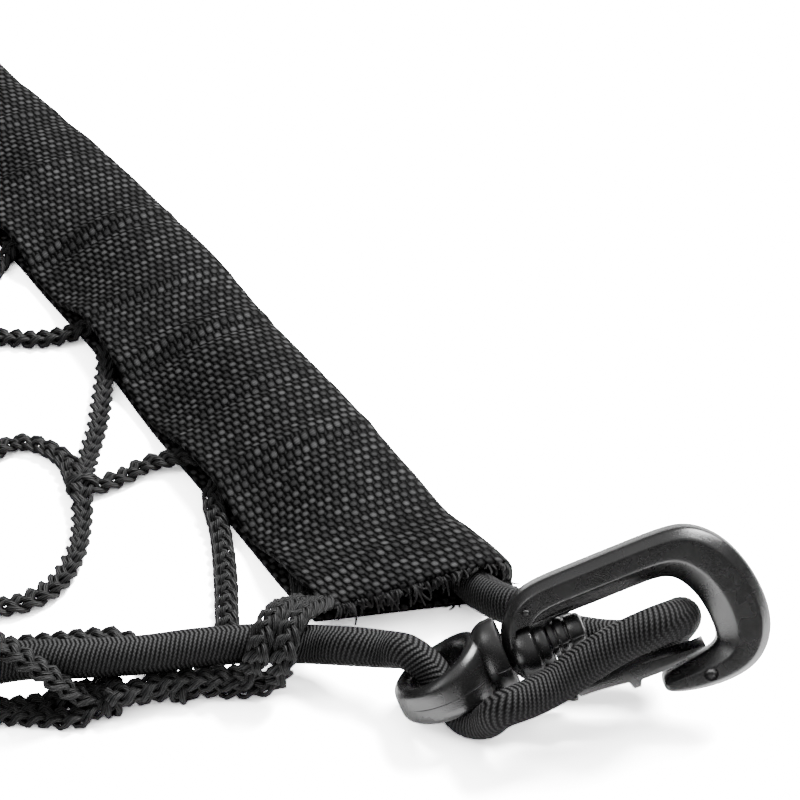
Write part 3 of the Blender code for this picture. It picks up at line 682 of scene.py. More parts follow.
route = (elastic_corner("front_right") + elastic_front(1)
         + elastic_corner("front_left")[::-1] + elastic_side(-1)
         + elastic_corner("back_left") + elastic_front(-1)
         + elastic_corner("back_right")[::-1] + elastic_side(1))
line = line_through(route, ELASTIC_STEP, closed=True)
_, side, up = lie(line, closed=True)
elastic_line = line[:, :3]
elastic_tubes = Tubes()
elastic_tubes.add(line, side, up, line[:, 3], ELASTIC_SIDES, closed=True)
elastic = elastic_tubes.build("elastic")
print("elastic:", round(len(line) * ELASTIC_STEP / 1000, 2), "m")

# %% [markdown]
# ## The sleeves
# Each sleeve is one wide strap of webbing, folded lengthways round the elastic. It is a thin
# sheet, so its middle surface is drawn as a grid, row by row along the strap, and a Solidify
# modifier then gives it its thickness. The upper layer rides over the elastic as a soft roll and
# sinks towards its open inner edge, which gapes a little where the net's joints lie between the
# layers. Creases cross it where the strap has been bent. The UV map counts the yarns of the
# weave, so the weave follows the cloth round the fold.

# %% The sleeve's shape
WEBBING = 1.3
CROWN = (                     # along the sleeve, height of its upper layer over the elastic
    (-71.0, 12.6), (-62.0, 12.0), (-47.0, 11.4), (-32.0, 12.6), (-18.0, 13.6), (0.0, 14.2),
    (20.0, 13.2), (40.0, 11.6), (58.0, 12.8), (74.0, 12.6), (91.0, 11.5), (109.0, 12.4),
    (124.0, 12.8), (139.0, 11.5), (157.0, 12.3), (MIDDLE, 12.8),
)
EDGE_SHUT, EDGE_OPEN = 2.9, 7.8
GAPE_FLAT, GAPE_SLOPE = 6.0, 19.0     # how far beside a joint it gapes, and takes to shut
MOUTH_OUTER, MOUTH_INNER = KNOT_ROWS[0] - 17.0, KNOT_ROWS[0] - 5.0
SECTION = (                   # across: share of the width, and height as share of three levels:
    (0.00, 0, 0, 0.65), (0.25, 0, 0, 0.65), (0.50, 0, 0, 0.65), (0.72, 0, 0, 0.65),
    (0.88, 0, 0, 0.75), (0.97, 0, 0, 2.0), (1.00, 0.33, 0, 0.6), (1.00, 0.62, 0, 0),
    (0.965, 0.86, 0, -0.3), (0.89, 1, 0, -0.9), (0.78, 1, 0, -0.65), (0.62, 1, 0, -0.9),
    (0.45, 0.78, 0.22, -0.7), (0.28, 0.46, 0.54, -0.65), (0.13, 0.16, 0.84, -0.6),
    (0.00, 0, 1, -0.65),      # the crown, the inner edge, and millimetres added
)
CREASES = (                   # place along at the fold, lean, height, half width
    (82.0, 5.0, 1.3, 2.0), (76.5, 7.0, -1.1, 2.2), (31.0, 4.0, 1.5, 1.8), (26.0, 3.0, -1.2, 2.0),
    (-18.0, 4.0, 1.1, 1.8), (-23.0, 2.0, -1.1, 2.0), (-58.0, 2.0, 0.7, 2.2),
    (52.0, 3.0, 0.7, 1.6), (47.5, 4.0, -0.8, 1.8), (4.0, 5.0, 0.6, 1.8), (0.5, 4.0, -0.8, 1.8),
    (112.0, 6.0, 1.0, 2.2), (143.0, -5.0, 1.2, 2.2), (160.0, 4.0, -0.9, 2.4),
)
CREASE_FADE, CREASE_HIGH = 0.65, 1.15    # how much lower at both edges; the height's factor
OVERHANG = 4.6                # how much further out the upper layer was cut
ROWS_ALONG, POINTS_ACROSS, SECTION_STEP = 230, 62, 0.5
SOFT_WINDOW = 23              # mm over which the tables are rounded off


def edge_height(y):
    """Height of the upper layer's inner edge: gaping at the joints in the sleeve."""
    near = min(abs(y - knot) for knot in KNOT_ROWS)
    shut = min(max((near - GAPE_FLAT) / GAPE_SLOPE, 0), 1)
    shut = shut * shut * (3 - 2 * shut)
    inside = KNOT_ROWS[0] < y < KNOT_ROWS[-1]
    return EDGE_OPEN + (EDGE_SHUT - EDGE_OPEN) * (shut if inside else 0)


def soft_table(table):
    """A table read every mm and rounded off, alike towards both ends."""
    y = np.arange(table[0][0] - 20, 2 * MIDDLE - table[0][0] + 20)
    values = np.array([read(table, folded(v)) for v in y])
    window = np.hanning(SOFT_WINDOW)
    padded = np.pad(values, len(window) // 2, mode="edge")
    return y, np.convolve(padded, window / window.sum(), mode="valid")


soft_fold, soft_crown = soft_table(FOLD_LINE), soft_table(CROWN)


def sleeve_section(share_along):
    """Points across the folded strap at one station, and how far along the strap each one is."""
    points = []
    for wide, of_crown, of_edge, more in SECTION:
        first = MOUTH_INNER + (MOUTH_OUTER - MOUTH_INNER) * wide
        first -= OVERHANG * (of_crown + of_edge) * min(1.5 * (1.15 - wide), 1)
        y = first + (2 * MIDDLE - 2 * first) * share_along
        outer = np.interp(y, *soft_fold)
        crown = np.interp(y, *soft_crown)
        x = outer - SLEEVE_WIDTH * (1 - wide) - (WEBBING / 2 if wide > 0.98 else 0)
        z = of_crown * crown + of_edge * edge_height(y) + more
        points.append((x, y, z, wide, of_crown + of_edge))
    return points


def crease(y, wide, upper):
    """Height that the creases add to the upper layer."""
    swell = 1 - CREASE_FADE + CREASE_FADE * sin(pi * min(max(wide * 1.1, 0), 1))
    total = 0.0
    for at, lean, height, half in CREASES:
        off = (folded(y) - at - lean * (1 - wide)) / half
        total += height * swell * np.exp(-off * off)
    return total * upper


# %% Building a sleeve
WARP_PITCH, WEFT_PITCH = 0.97, 4.6    # of a column and of a row of the weave
RIPPLE, DRIFT = 0.7, 0.8      # small waves of the upper layer, and how far the strap strays


def build_sleeve(name, side):
    """Grid of the folded strap, made a closed sheet by Solidify."""
    points, uvs = [], []
    for i in range(ROWS_ALONG + 1):
        section = line_through(sleeve_section(i / ROWS_ALONG), SECTION_STEP)
        across = way_along(section)
        wanted = np.linspace(0, across[-1], POINTS_ACROSS)
        for (x, y, z, wide, upper), along in zip(spread(section, across, wanted), wanted):
            upper = min(max(upper * 1.4 - 0.4, 0), 1)
            ripple = noise.noise(Vector((x * 0.05, y * 0.07, side * 3))) * RIPPLE
            z += crease(y, wide, upper) * CREASE_HIGH + ripple * upper
            x += noise.noise(Vector((y * 0.03, 5, side))) * DRIFT
            points.append(((CORNER.x + x) * side, CORNER.y + y, max(z, WEBBING / 2)))
            uvs.append((along / WARP_PITCH, (y - MOUTH_OUTER) / WEFT_PITCH))
    faces = []
    for start in range(0, ROWS_ALONG * POINTS_ACROSS, POINTS_ACROSS):
        for k in range(start, start + POINTS_ACROSS - 1):
            faces.append((k, k + 1, k + POINTS_ACROSS + 1, k + POINTS_ACROSS)[::-side])
    made = new_piece(name, [Vector(p) * MM for p in points], faces,
                     [value for face in faces for k in face for value in uvs[k]])
    finish_with(made, "SOLIDIFY", thickness=WEBBING * MM, offset=0)
    print(name, len(made.data.polygons), "faces")
    return made


sleeves = [build_sleeve("webbing_sleeve_right", 1), build_sleeve("webbing_sleeve_left", -1)]

# %% [markdown]
# The strap was cut and left raw, so yarn ends hang out of both mouths. They are most unruly on
# the inner half, where the net's cords rub them. Each end is a short thin tube that starts in
# the cut, turns aside at random and sinks. The random draws come from a fixed seed.

# %% Frayed ends
FRAY_COUNT, FRAY_R, FRAY_TAPER = 170, 0.30, (1.15, 0.6)
FRAY_SHORT, FRAY_LONGER, FRAY_SAG = 0.8, 3.2, 6.0
FRAY_ASIDE, FRAY_LIFT = 1.6, 0.8      # how far an end strays along the cut, and up or down
FRAY_CLEAR = 4.4              # from the middle of the elastic: nearer ones are left out
INNER_FROM, INNER_SHARE = 0.55, 0.43  # the stretch of the cut where most of them hang
FRAY_BENDS = (                # shares of how far it goes aside, ahead, up and down
    (0.2, 0.4, 0.5, 0.0), (0.7, 0.8, 1.0, 0.5), (1.2, 0.9, 1.0, 1.0),
)


def build_fray(name, side, seed):
    """Loose yarn ends at both mouths of a sleeve."""
    draw = np.random.RandomState(seed)
    tubes = Tubes()
    section = line_through(sleeve_section(0.0), SECTION_STEP)
    for _ in range(FRAY_COUNT):
        root = section[int(draw.rand() ** 1.2 * len(section) * 0.98)]
        if root[3] < INNER_FROM or draw.rand() < 0.45:
            root = section[int((INNER_FROM + INNER_SHARE * draw.rand()) * len(section))]
        drop = min(max(root[2] - 1.6, 0), FRAY_SAG) * 0.5 * draw.rand()
        reach = FRAY_SHORT + FRAY_LONGER * draw.rand() ** 3
        aside = draw.uniform(-FRAY_ASIDE, FRAY_ASIDE)
        lift = draw.uniform(-FRAY_LIFT, FRAY_LIFT)
        route = [(root[0], root[1] + 1.0, root[2])]
        route += [(root[0] + aside * off, root[1] - reach * on, root[2] + lift * up - drop * down)
                  for off, on, up, down in FRAY_BENDS]
        line = line_through([(x, y, max(z, 0.5)) for x, y, z in route], 0.6)
        for along in (1, -1):
            placed = line.copy()
            placed[:, 0] = (CORNER.x + line[:, 0]) * side
            placed[:, 1] = (CORNER.y + line[:, 1]) * along
            if min(np.linalg.norm(elastic_line - p, axis=1).min() for p in placed) < FRAY_CLEAR:
                continue
            _, sidewards, upwards = lie(placed)
            tubes.add(placed, sidewards, upwards, FRAY_R * np.linspace(*FRAY_TAPER, len(placed)), 4)
    return tubes.build(name)


frays = [build_fray("frayed_ends_right", 1, 3), build_fray("frayed_ends_left", -1, 4)]
print("frayed sleeves:", len(frays))

# %% [markdown]
# ## The snap hooks
# A hook is one moulding: a round base that turns on the eye's pin, a straight spine, a bend and a
# nose. It could be a flat outline with a bevelled rim, but the real section changes: a small
# bevel outside, a flat face, and a broad soft chamfer inside. So a ring of vertices, laid out as
# that section, is extruded from station to station. A Subdivision Surface modifier makes it
# smooth.

# %% Drawing a ring out
def draw_out(name, rings, closed=False):
    """A ring of vertices extruded by hand from station to station, each time laid out anew."""
    bpy.ops.mesh.primitive_circle_add(vertices=len(rings[0]), radius=1.0)
    made = bpy.context.object
    made.name = name
    for vertex, place in zip(made.data.vertices, rings[0]):
        vertex.co = place
    bpy.ops.object.mode_set(mode="EDIT")
    bpy.ops.mesh.select_mode(type="VERT")
    bpy.ops.mesh.select_all(action="SELECT")
    if not closed:
        bpy.ops.mesh.edge_face_add()
    for before, ring in zip(rings, rings[1:]):
        bpy.ops.mesh.extrude_region_move()
        bpy.ops.object.mode_set(mode="OBJECT")
        for vertex in made.data.vertices:
            if vertex.select:
                nearest = min(range(len(before)), key=lambda k: (vertex.co - before[k]).length)
                vertex.co = ring[nearest]
        bpy.ops.object.mode_set(mode="EDIT")
    if closed:
        bpy.ops.mesh.select_all(action="DESELECT")
        bpy.ops.mesh.select_non_manifold()
        bpy.ops.mesh.bridge_edge_loops()
    bpy.ops.mesh.select_all(action="SELECT")
    bpy.ops.mesh.normals_make_consistent(inside=False)
    bpy.ops.object.mode_set(mode="OBJECT")
    return made


def cut_or_join(made, tool, operation):
    """Boolean with a tool that is used up."""
    finish_with(made, "BOOLEAN", operation=operation, object=tool, solver="EXACT")
    bpy.data.objects.remove(tool)


# %% Stations of the hook
HOOK_STATIONS = (             # outer edge along and across, inner edge along and across
    (10.7, -12.2, 10.3, -10.9), (8.8, -12.0, 10.1, -10.2), (7.0, -10.6, 9.5, -8.9),
    (5.6, -8.4, 9.2, -7.2), (3.6, -6.0, 9.2, -5.2), (1.5, -4.0, 9.2, -3.2), (0.3, -1.6, 9.2, -1.4),
    (0.0, 0.8, 9.2, 0.3), (0.9, 4.9, 9.3, 1.9), (2.9, 8.5, 9.8, 3.4), (6.4, 11.5, 11.6, 4.2),
    (10.7, 12.4, 14.6, 4.2),
    (17.0, 12.4, 18.4, 4.1), (24.0, 12.4, 24.0, 4.1), (31.0, 12.4, 29.6, 4.1),
    (37.2, 12.3, 33.2, 4.0), (41.2, 11.7, 35.6, 3.2), (44.4, 9.8, 37.1, 1.4),
    (47.3, 6.7, 38.2, -0.7), (49.5, 2.2, 39.0, -3.2), (50.8, -3.6, 39.4, -5.8),
    (50.8, -9.4, 39.5, -8.6), (49.4, -14.0, 39.4, -10.6), (46.4, -17.7, 38.8, -11.9),
    (42.2, -19.6, 37.4, -12.5), (36.3, -19.9, 35.0, -12.9), (30.6, -18.9, 31.0, -13.5),
    (27.2, -17.7, 27.6, -13.9), (26.1, -16.6, 26.5, -14.5),
)
HOOK_SECTION = (              # share of the way out from the inner edge, height off the middle
    (0.00, 1.5), (0.03, 2.1), (0.34, 4.05), (0.38, 4.25), (0.43, 4.3), (0.76, 4.3), (0.80, 4.25),
    (0.83, 4.1), (0.97, 2.7), (1.00, 2.0),
)


def hook_ring(station):
    """The hook's section at one station."""
    outer, inner = Vector(station[:2]), Vector(station[2:])
    half = [(inner + (outer - inner) * share, height) for share, height in HOOK_SECTION]
    return [Vector((p.x, p.y, z)) for p, z in half] + [Vector((p.x, p.y, -z))
                                                       for p, z in reversed(half)]


hook = draw_out("hook", [hook_ring(station) for station in HOOK_STATIONS])
finish_with(hook, "SUBSURF", levels=2, render_levels=2)
print("hook:", len(hook.data.polygons), "faces")

# %% [markdown]
# The base holds the pin in a round collar, thicker than the spine. Above the collar the spine's
# face ends in a step, so the plate is first scooped out on both faces and the turned collar is
# then joined in. It is bored for the pin. Shallow round pits mark where the mould's pins stood.

# %% Scoop, collar, bore and pits
PIN_R, BORE_R, BORE_MIDDLE, BORE_LONG = 2.6, 3.0, 4.6, 20.0
SCOOP_AT, SCOOP_WIDE, SCOOP_HIGH = (10.7, 0.4), 7.6, 9.4
SCOOP_FLOOR, SCOOP_THICK = 2.4, 4.0
SCOOP_FROM, SCOOP_TO = -6.6, 5.5
COLLAR = (                    # along the axis, radius
    (0.5, 0.5), (0.3, 2.4), (0.9, 3.0), (1.7, 4.2), (2.4, 5.0), (2.9, 5.4), (3.5, 5.7), (4.2, 5.85),
    (6.3, 5.85), (6.7, 5.6), (6.9, 5.0), (7.1, 4.7), (7.4, 4.8), (7.8, 4.9), (8.8, 4.8), (9.2, 4.5),
    (9.3, 4.0), (9.3, 0.5),
)
PITS = ((35.5, -16.6, 1.5), (7.4, 8.0, 1.0))   # along, across, radius
PIT_LEVEL = 4.75


def turned(name, profile, around):
    """A turned body: rings of changing radius drawn out along the axis."""
    angles = [2 * pi * k / around for k in range(around)]
    return draw_out(name, [[Vector((x, r * cos(angle), r * sin(angle))) for angle in angles]
                           for x, r in profile])


for face in (1, -1):
    level = face * (SCOOP_FLOOR + SCOOP_THICK / 2)
    bpy.ops.mesh.primitive_cylinder_add(vertices=64, radius=1.0, depth=SCOOP_THICK,
                                        location=(*SCOOP_AT, level),
                                        scale=(SCOOP_WIDE, SCOOP_HIGH, 1.0))
    scoop = bpy.context.object
    bpy.ops.object.transform_apply(location=True, scale=True)
    bpy.ops.object.mode_set(mode="EDIT")
    for level, clear_up in ((SCOOP_TO, True), (SCOOP_FROM, False)):
        bpy.ops.mesh.select_all(action="SELECT")
        bpy.ops.mesh.bisect(plane_co=(0, level, 0), plane_no=(0, 1, 0), clear_outer=clear_up,
                            clear_inner=not clear_up, use_fill=True)
    bpy.ops.object.mode_set(mode="OBJECT")
    finish_with(scoop, "BEVEL", width=0.6, segments=3, limit_method="ANGLE",
                angle_limit=radians(50))
    cut_or_join(hook, scoop, "DIFFERENCE")
cut_or_join(hook, turned("collar", COLLAR, 44), "UNION")
bpy.ops.mesh.primitive_cylinder_add(vertices=32, radius=BORE_R, depth=BORE_LONG,
                                    location=(BORE_MIDDLE, 0, 0), rotation=(0, pi / 2, 0))
cut_or_join(hook, bpy.context.object, "DIFFERENCE")
for along, across, radius in PITS:
    for face in (1, -1):
        bpy.ops.mesh.primitive_uv_sphere_add(segments=20, ring_count=12, radius=radius,
                                             location=(along, across, face * PIT_LEVEL))
        cut_or_join(hook, bpy.context.object, "DIFFERENCE")
print("hook bored:", len(hook.data.polygons), "faces")

# %% [markdown]
# ## The gate
# The gate is a springy tongue that lies on the nose from inside. Its outline is laid out with a
# ring of vertices, filled, extruded to its width and given a fine bevel.

# %% The gate
GATE_OUTLINE = (
    (9.6, -9.0), (12.5, -9.8), (15.4, -10.1), (20.7, -9.9), (24.2, -10.1), (27.7, -10.4),
    (31.2, -10.7), (34.6, -11.0), (36.5, -10.9), (36.7, -11.2), (36.4, -11.5), (33.8, -12.0),
    (31.1, -12.4), (28.6, -12.8), (26.5, -13.0), (22.9, -12.9), (22.3, -14.1), (20.9, -14.0),
    (20.4, -12.5), (17.8, -12.1), (15.2, -11.8), (12.8, -11.6), (10.8, -11.5), (10.4, -10.6),
)
GATE_WIDE = 6.8

gate = draw_out("gate", [[Vector((x, y, side * GATE_WIDE / 2)) for x, y in GATE_OUTLINE]
                         for side in (-1, 1)])
finish_with(gate, "BEVEL", width=0.45, segments=3, limit_method="ANGLE", angle_limit=radians(40))
print("gate:", len(gate.data.polygons), "faces")

# %% [markdown]
# ## The swivel eye
# The eye is an oval ring for the cord, on a hub with a pin. Its bars grow taller towards the hub.
# The pin goes through the hook's base and ends inside it in a head with three ribs. Hub, pin and
# head are turned, and the hub is then pressed flatter, as deep as the hook.

# %% The eye
EYE_CENTRE, EYE_OUTER, EYE_INNER = -12.4, (9.9, 10.6), (6.0, 6.7)
EYE_HALF, EYE_RISE, EYE_SINK = 3.6, 3.4, 1.0   # half height, and what the hub's end adds
HUB_DEEP, RING_STEPS = 0.62, 28
TURNED_HUB = (                # along the axis, radius
    (-5.6, 0.6), (-5.6, 5.0), (-5.0, 6.4), (-3.6, 8.0), (-2.6, 8.6), (-1.8, 8.9), (0.2, 9.0),
    (0.7, 8.8), (0.9, 8.4), (-0.2, 6.0), (-0.9, 3.8), (-0.9, 0.6),
)
TURNED_PIN = (
    (-1.6, 0.6), (-1.6, PIN_R), (9.5, PIN_R), (9.5, 3.8), (9.7, 4.05), (10.4, 4.1), (10.7, 3.9),
    (10.8, 3.3), (11.1, 3.3), (11.2, 3.7), (11.5, 3.9), (12.5, 3.8), (12.8, 3.6), (12.9, 3.1),
    (13.2, 3.1), (13.3, 3.4), (13.6, 3.6), (15.6, 3.45), (16.1, 3.25), (16.4, 2.8), (16.4, 0.6),
)
RING_SECTION = (              # share of the way out through the bar, height from its top
    (0.00, -1.6), (0.05, -1.0), (0.28, -0.12), (0.34, 0.0), (0.66, 0.0), (0.72, -0.12),
    (0.95, -1.0), (1.00, -1.6),
)

eye = turned("eye", TURNED_PIN, 36)
hub = turned("hub", TURNED_HUB, 44)
hub.data.transform(Matrix.Diagonal((1, HUB_DEEP, 1, 1)))
cut_or_join(eye, hub, "UNION")

oval_rings = []
for step in range(RING_STEPS):
    angle = 2 * pi * step / RING_STEPS
    along, across = cos(angle), sin(angle)
    grown = ((along + 1) / 2) ** 1.6
    half = []
    for share, below in RING_SECTION:
        reach = [inner + (outer - inner) * share for inner, outer in zip(EYE_INNER, EYE_OUTER)]
        half.append((EYE_CENTRE + reach[0] * along, reach[1] * across, below))
    oval_rings.append([Vector((x, y, EYE_HALF + EYE_SINK * grown + z)) for x, y, z in half]
                      + [Vector((x, y, -EYE_HALF - EYE_RISE * grown - z))
                         for x, y, z in reversed(half)])
oval = draw_out("oval", oval_rings, closed=True)
finish_with(oval, "SUBSURF", levels=1, render_levels=1)
cut_or_join(eye, oval, "UNION")
print("eye:", len(eye.data.polygons), "faces")

# %% [markdown]
# Each of the three is now copied to the four corners. Every copy keeps, as an attribute, where
# each of its points was before it was placed, so that a finish can follow the moulding itself,
# such as the fine line where the two halves of the mould met.

# %% Hooks at the corners
def place_copies(model, name, smooth_angle, roll):
    """Copies of a modelled piece at the four corners, rolled about the hook's axis."""
    copies = []
    for corner in CORNERS:
        mesh = model.data.copy()
        place = mesh.attributes.new("moulded_at", "FLOAT_VECTOR", "POINT")
        place.data.foreach_set("vector", [value for v in mesh.vertices for value in v.co])
        hand = hand_of(corner)
        mesh.transform(hook_pose(corner, roll) @ Matrix.Diagonal((1, 1, hand, 1)))
        mesh.transform(Matrix.Scale(MM, 4))
        if hand < 0:
            mesh.flip_normals()
        copy = bpy.data.objects.new(f"{name}_{corner}", mesh)
        bpy.context.scene.collection.objects.link(copy)
        pick(copy)
        bpy.ops.object.shade_smooth_by_angle(angle=radians(smooth_angle))
        copies.append(copy)
    bpy.data.objects.remove(model)
    return copies


hooks = place_copies(hook, "snap_hook", 40, HOOK_ROLL)
gates = place_copies(gate, "spring_gate", 35, HOOK_ROLL)
eyes = place_copies(eye, "swivel_eye", 40, EYE_ROLL)
print("placed:", len(hooks + gates + eyes))

# %% [markdown]
# ## Finishes
# Four materials dress the net: soft yarn, the ribbed cover of the elastic, woven webbing and
# satin plastic. Two effects serve more than one of them, so each is a node group: a colour for
# cloth that paints light and shade, and fine threads that run along a yarn. The first paints the
# higher parts paler, as a painted highlight, and the low parts near black, as painted shade;
# patches of wear make the highlight a little paler in places and roughen the cloth a little.

# %% Node helpers
def add_node(tree, kind, inputs=None, **settings):
    """One node. Inputs go by name or number: a socket is linked, anything else is its value."""
    made = tree.nodes.new("ShaderNode" + kind)
    for key, value in settings.items():
        setattr(made, key, value)
    for key, value in (inputs or {}).items():
        if isinstance(value, bpy.types.NodeSocket):
            tree.links.new(value, made.inputs[key])
        else:
            made.inputs[key].default_value = value
    return made


def calc(tree, operation, a, b=0.0, c=0.0):
    """A Math node's result."""
    return add_node(tree, "Math", {0: a, 1: b, 2: c}, operation=operation).outputs[0]


def wave(tree, phase):
    """0 to 1 and back over each whole step of the phase."""
    return calc(tree, "MULTIPLY_ADD", calc(tree, "COSINE", calc(tree, "MULTIPLY", phase, 2 * pi)),
                0.5, 0.5)


def start_group(name, inputs, outputs):
    """An empty node group with its sockets."""
    group = bpy.data.node_groups.new(name, "ShaderNodeTree")
    for label, kind, value in inputs:
        socket = group.interface.new_socket(label, in_out="INPUT", socket_type=kind)
        if value is not None:
            socket.default_value = value
    for label, kind in outputs:
        group.interface.new_socket(label, in_out="OUTPUT", socket_type=kind)
    return group, group.nodes.new("NodeGroupInput"), group.nodes.new("NodeGroupOutput")


def noise_on(tree, place, scale, detail, roughness=0.5):
    """Noise over a place socket."""
    return add_node(tree, "TexNoise", {"Vector": place, "Scale": scale, "Detail": detail,
                                       "Roughness": roughness}).outputs[0]


def blend(tree, share, low, high):
    """A colour between two others."""
    return add_node(tree, "Mix", {0: share, 6: low, 7: high}, data_type="RGBA").outputs[2]


def split(tree, vector):
    """The three parts of a vector socket."""
    return add_node(tree, "SeparateXYZ", {0: vector}).outputs[:]


def fall(tree, value, first, last, from_this, to_this):
    """A smooth change from one value to another between two places."""
    return add_node(tree, "MapRange", {0: value, 1: first, 2: last, 3: from_this, 4: to_this},
                    interpolation_type="SMOOTHSTEP").outputs[0]


def grey(value, blue=None):
    """A grey, or one with a little more blue."""
    return value, value, blue or value, 1


def start_material(name):
    """A material, its node tree and its texture coordinates."""
    made = bpy.data.materials.new(name)
    made.use_nodes = True
    return made, made.node_tree, add_node(made.node_tree, "TexCoord").outputs


def finish_surface(material, colour, roughness, height, distance, strength, specular):
    """Gives a material its colour and shine, and a bump whose distance is in metres."""
    tree = material.node_tree
    bump = add_node(tree, "Bump", {"Height": height, "Distance": distance, "Strength": strength})
    shader = tree.nodes["Principled BSDF"].inputs
    for key, value in (("Base Color", colour), ("Roughness", roughness),
                       ("Normal", bump.outputs[0])):
        tree.links.new(value, shader[key])
    shader["Specular IOR Level"].default_value = specular
    print("finish:", material.name)


def finish_cloth(material, place, deep, lit_and_worn, highlight_mask, **surface):
    """The same for cloth: painted shade in the deep colour where it is low, a paler painted
    highlight where it is higher.
    """
    faded_and_lit = add_node(material.node_tree, "Group", {
        "Place": place, "Deep": deep, "Lit_and_worn": lit_and_worn, "Highlight_mask": highlight_mask}, node_tree=fade_and_light)
    finish_surface(material, *faded_and_lit.outputs[:2], **surface)


# %% Shared effect: faded patches
PATCHES, GRAIN = 0.7, 0.6     # what each adds to the wear

fade_and_light, taken, given = start_group(
    "faded_and_lit_cloth",
    (("Place", "NodeSocketVector", None), ("Deep", "NodeSocketColor", (0.01, 0.01, 0.01, 1)),
     ("Lit_and_worn", "NodeSocketColor", (0.05, 0.05, 0.05, 1)), ("Highlight_mask", "NodeSocketFloat", 0.5)),
    (("Colour", "NodeSocketColor"), ("Roughness", "NodeSocketFloat")))
patches = noise_on(fade_and_light, taken.outputs["Place"], scale=45.0, detail=3.0, roughness=0.6)
grain = noise_on(fade_and_light, taken.outputs["Place"], scale=2600.0, detail=2.0)
mixed = calc(fade_and_light, "MULTIPLY_ADD", patches, PATCHES, calc(fade_and_light, "MULTIPLY", grain, GRAIN))
# Paler colour where the mask is high: a painted highlight; the deep colour elsewhere: painted shade
share = calc(fade_and_light, "MULTIPLY", taken.outputs["Highlight_mask"], mixed)
fade_and_light.links.new(blend(fade_and_light, share, taken.outputs["Deep"], taken.outputs["Lit_and_worn"]),
               given.inputs["Colour"])
fade_and_light.links.new(calc(fade_and_light, "MULTIPLY_ADD", mixed, 0.25, 0.45), given.inputs["Roughness"])
print("group:", fade_and_light.name)

# %% Shared effect: threads along a yarn
threads, taken, given = start_group(
    "fine_threads",
    (("Along", "NodeSocketFloat", 0.0), ("Around", "NodeSocketFloat", 0.0),
     ("Threads", "NodeSocketFloat", 9.0), ("Twist", "NodeSocketFloat", 0.2)),
    (("Height", "NodeSocketFloat"),))
lean = calc(threads, "MULTIPLY_ADD", taken.outputs["Along"], taken.outputs["Twist"],
            calc(threads, "MULTIPLY", taken.outputs["Around"], taken.outputs["Threads"]))
threads.links.new(calc(threads, "POWER", wave(threads, lean), 0.6), given.inputs["Height"])
print("group:", threads.name)


def threads_on(tree, along, around, count, twist):
    """Height of fine threads: so many round a yarn, and how much they twist along it."""
    return add_node(tree, "Group", {"Along": along, "Around": around, "Threads": count,
                                    "Twist": twist}, node_tree=threads).outputs[0]


# %% [markdown]
# The yarn of the net is a soft bundle of threads. They are too fine to model, so a bump draws
# them along each yarn, and grain breaks them up. The crests of the threads are painted paler, a
# painted highlight, and the gaps between them near black, as painted shade.

# %% Yarn
yarn, tree, place = start_material("soft_yarn")
along, around, _ = split(tree, place["UV"])
lines_on = threads_on(tree, along, around, count=7.0, twist=0.45)
fuzz = noise_on(tree, place["Object"], scale=1500.0, detail=3.0)
height = calc(tree, "MULTIPLY_ADD", fuzz, 0.8, lines_on)
# Painted highlight on the threads' crests, painted shade in the gaps between them
finish_cloth(yarn, place["Object"], deep=grey(0.002), lit_and_worn=grey(0.046, 0.047),
             highlight_mask=calc(tree, "POWER", lines_on, 2.0),
             height=height, distance=0.00016, strength=0.9, specular=0.4)

# %% [markdown]
# The elastic's cover is woven so tightly that it shows as narrow ribs round the cord. They lean
# one way on one side and the other way on the other, and small stitches run along each. The ribs'
# crests are painted paler and the grooves near black, as painted highlight and painted shade, and
# the upper side of the cord is painted paler still, as painted light from above.

# %% Ribbed cover
RIB_PITCH, RIB_SLANT = 0.88, 2.0
STITCHES_ROUND = 34.0
TOP_AROUND = 0.25             # where round the cord its upper side is

cover, tree, place = start_material("ribbed_cover")
along, around, _ = split(tree, place["UV"])
fold_back = calc(tree, "PINGPONG", calc(tree, "MULTIPLY", around, 4.0), 1.0)
phase = calc(tree, "MULTIPLY_ADD", fold_back, RIB_SLANT, calc(tree, "DIVIDE", along, RIB_PITCH))
rib = calc(tree, "POWER", wave(tree, phase), 0.6)
stitch = wave(tree, calc(tree, "MULTIPLY_ADD", around, STITCHES_ROUND,
                         calc(tree, "MULTIPLY", calc(tree, "FLOOR", phase), 0.5)))
height = calc(tree, "MULTIPLY", rib, calc(tree, "MULTIPLY_ADD", stitch, 0.4, 0.6))
# Painted light: the cord's upper side is painted paler, as if lit from above
lit_top = wave(tree, calc(tree, "SUBTRACT", around, TOP_AROUND))
# Painted highlight on the ribs' crests, stronger on the upper side; painted shade in the grooves
highlight_mask = calc(tree, "MULTIPLY", calc(tree, "POWER", height, 2.0),
              calc(tree, "MULTIPLY_ADD", calc(tree, "POWER", lit_top, 2.0), 1.0, 0.25))
finish_cloth(cover, place["Object"], deep=grey(0.001), lit_and_worn=grey(0.15, 0.152), highlight_mask=highlight_mask,
             height=height, distance=0.0003, strength=0.8, specular=0.10)

# %% [markdown]
# The webbing is a plain weave. Its UV map counts yarns: columns run along the strap, rows cross
# it. The thick crosswise yarn comes up as a short float in every second column, and in the
# columns between them half a row later. So the floats are domes on two shifted grids, and the
# higher of the two is seen. Each dome is painted paler, a painted highlight of its own strength.
# Between the floats the yarns that run along show as low ridges with a weaker painted highlight,
# and the low places between are painted near black, as painted shade.

# %% Woven webbing
FLOAT_WIDE, FLOAT_LONG = 0.92, 0.21   # half sizes of a float, in columns and in rows
FLOAT_STRAYS = 0.08           # how far apart those of a row lie, at most
# The second number is how strong the ridges' painted highlight is, against the floats'
RIDGE, RIDGE_LIT = 0.3, 0.5  # the yarns between, against the floats

woven, tree, place = start_material("woven_webbing")
on_columns, on_rows, _ = split(tree, place["UV"])


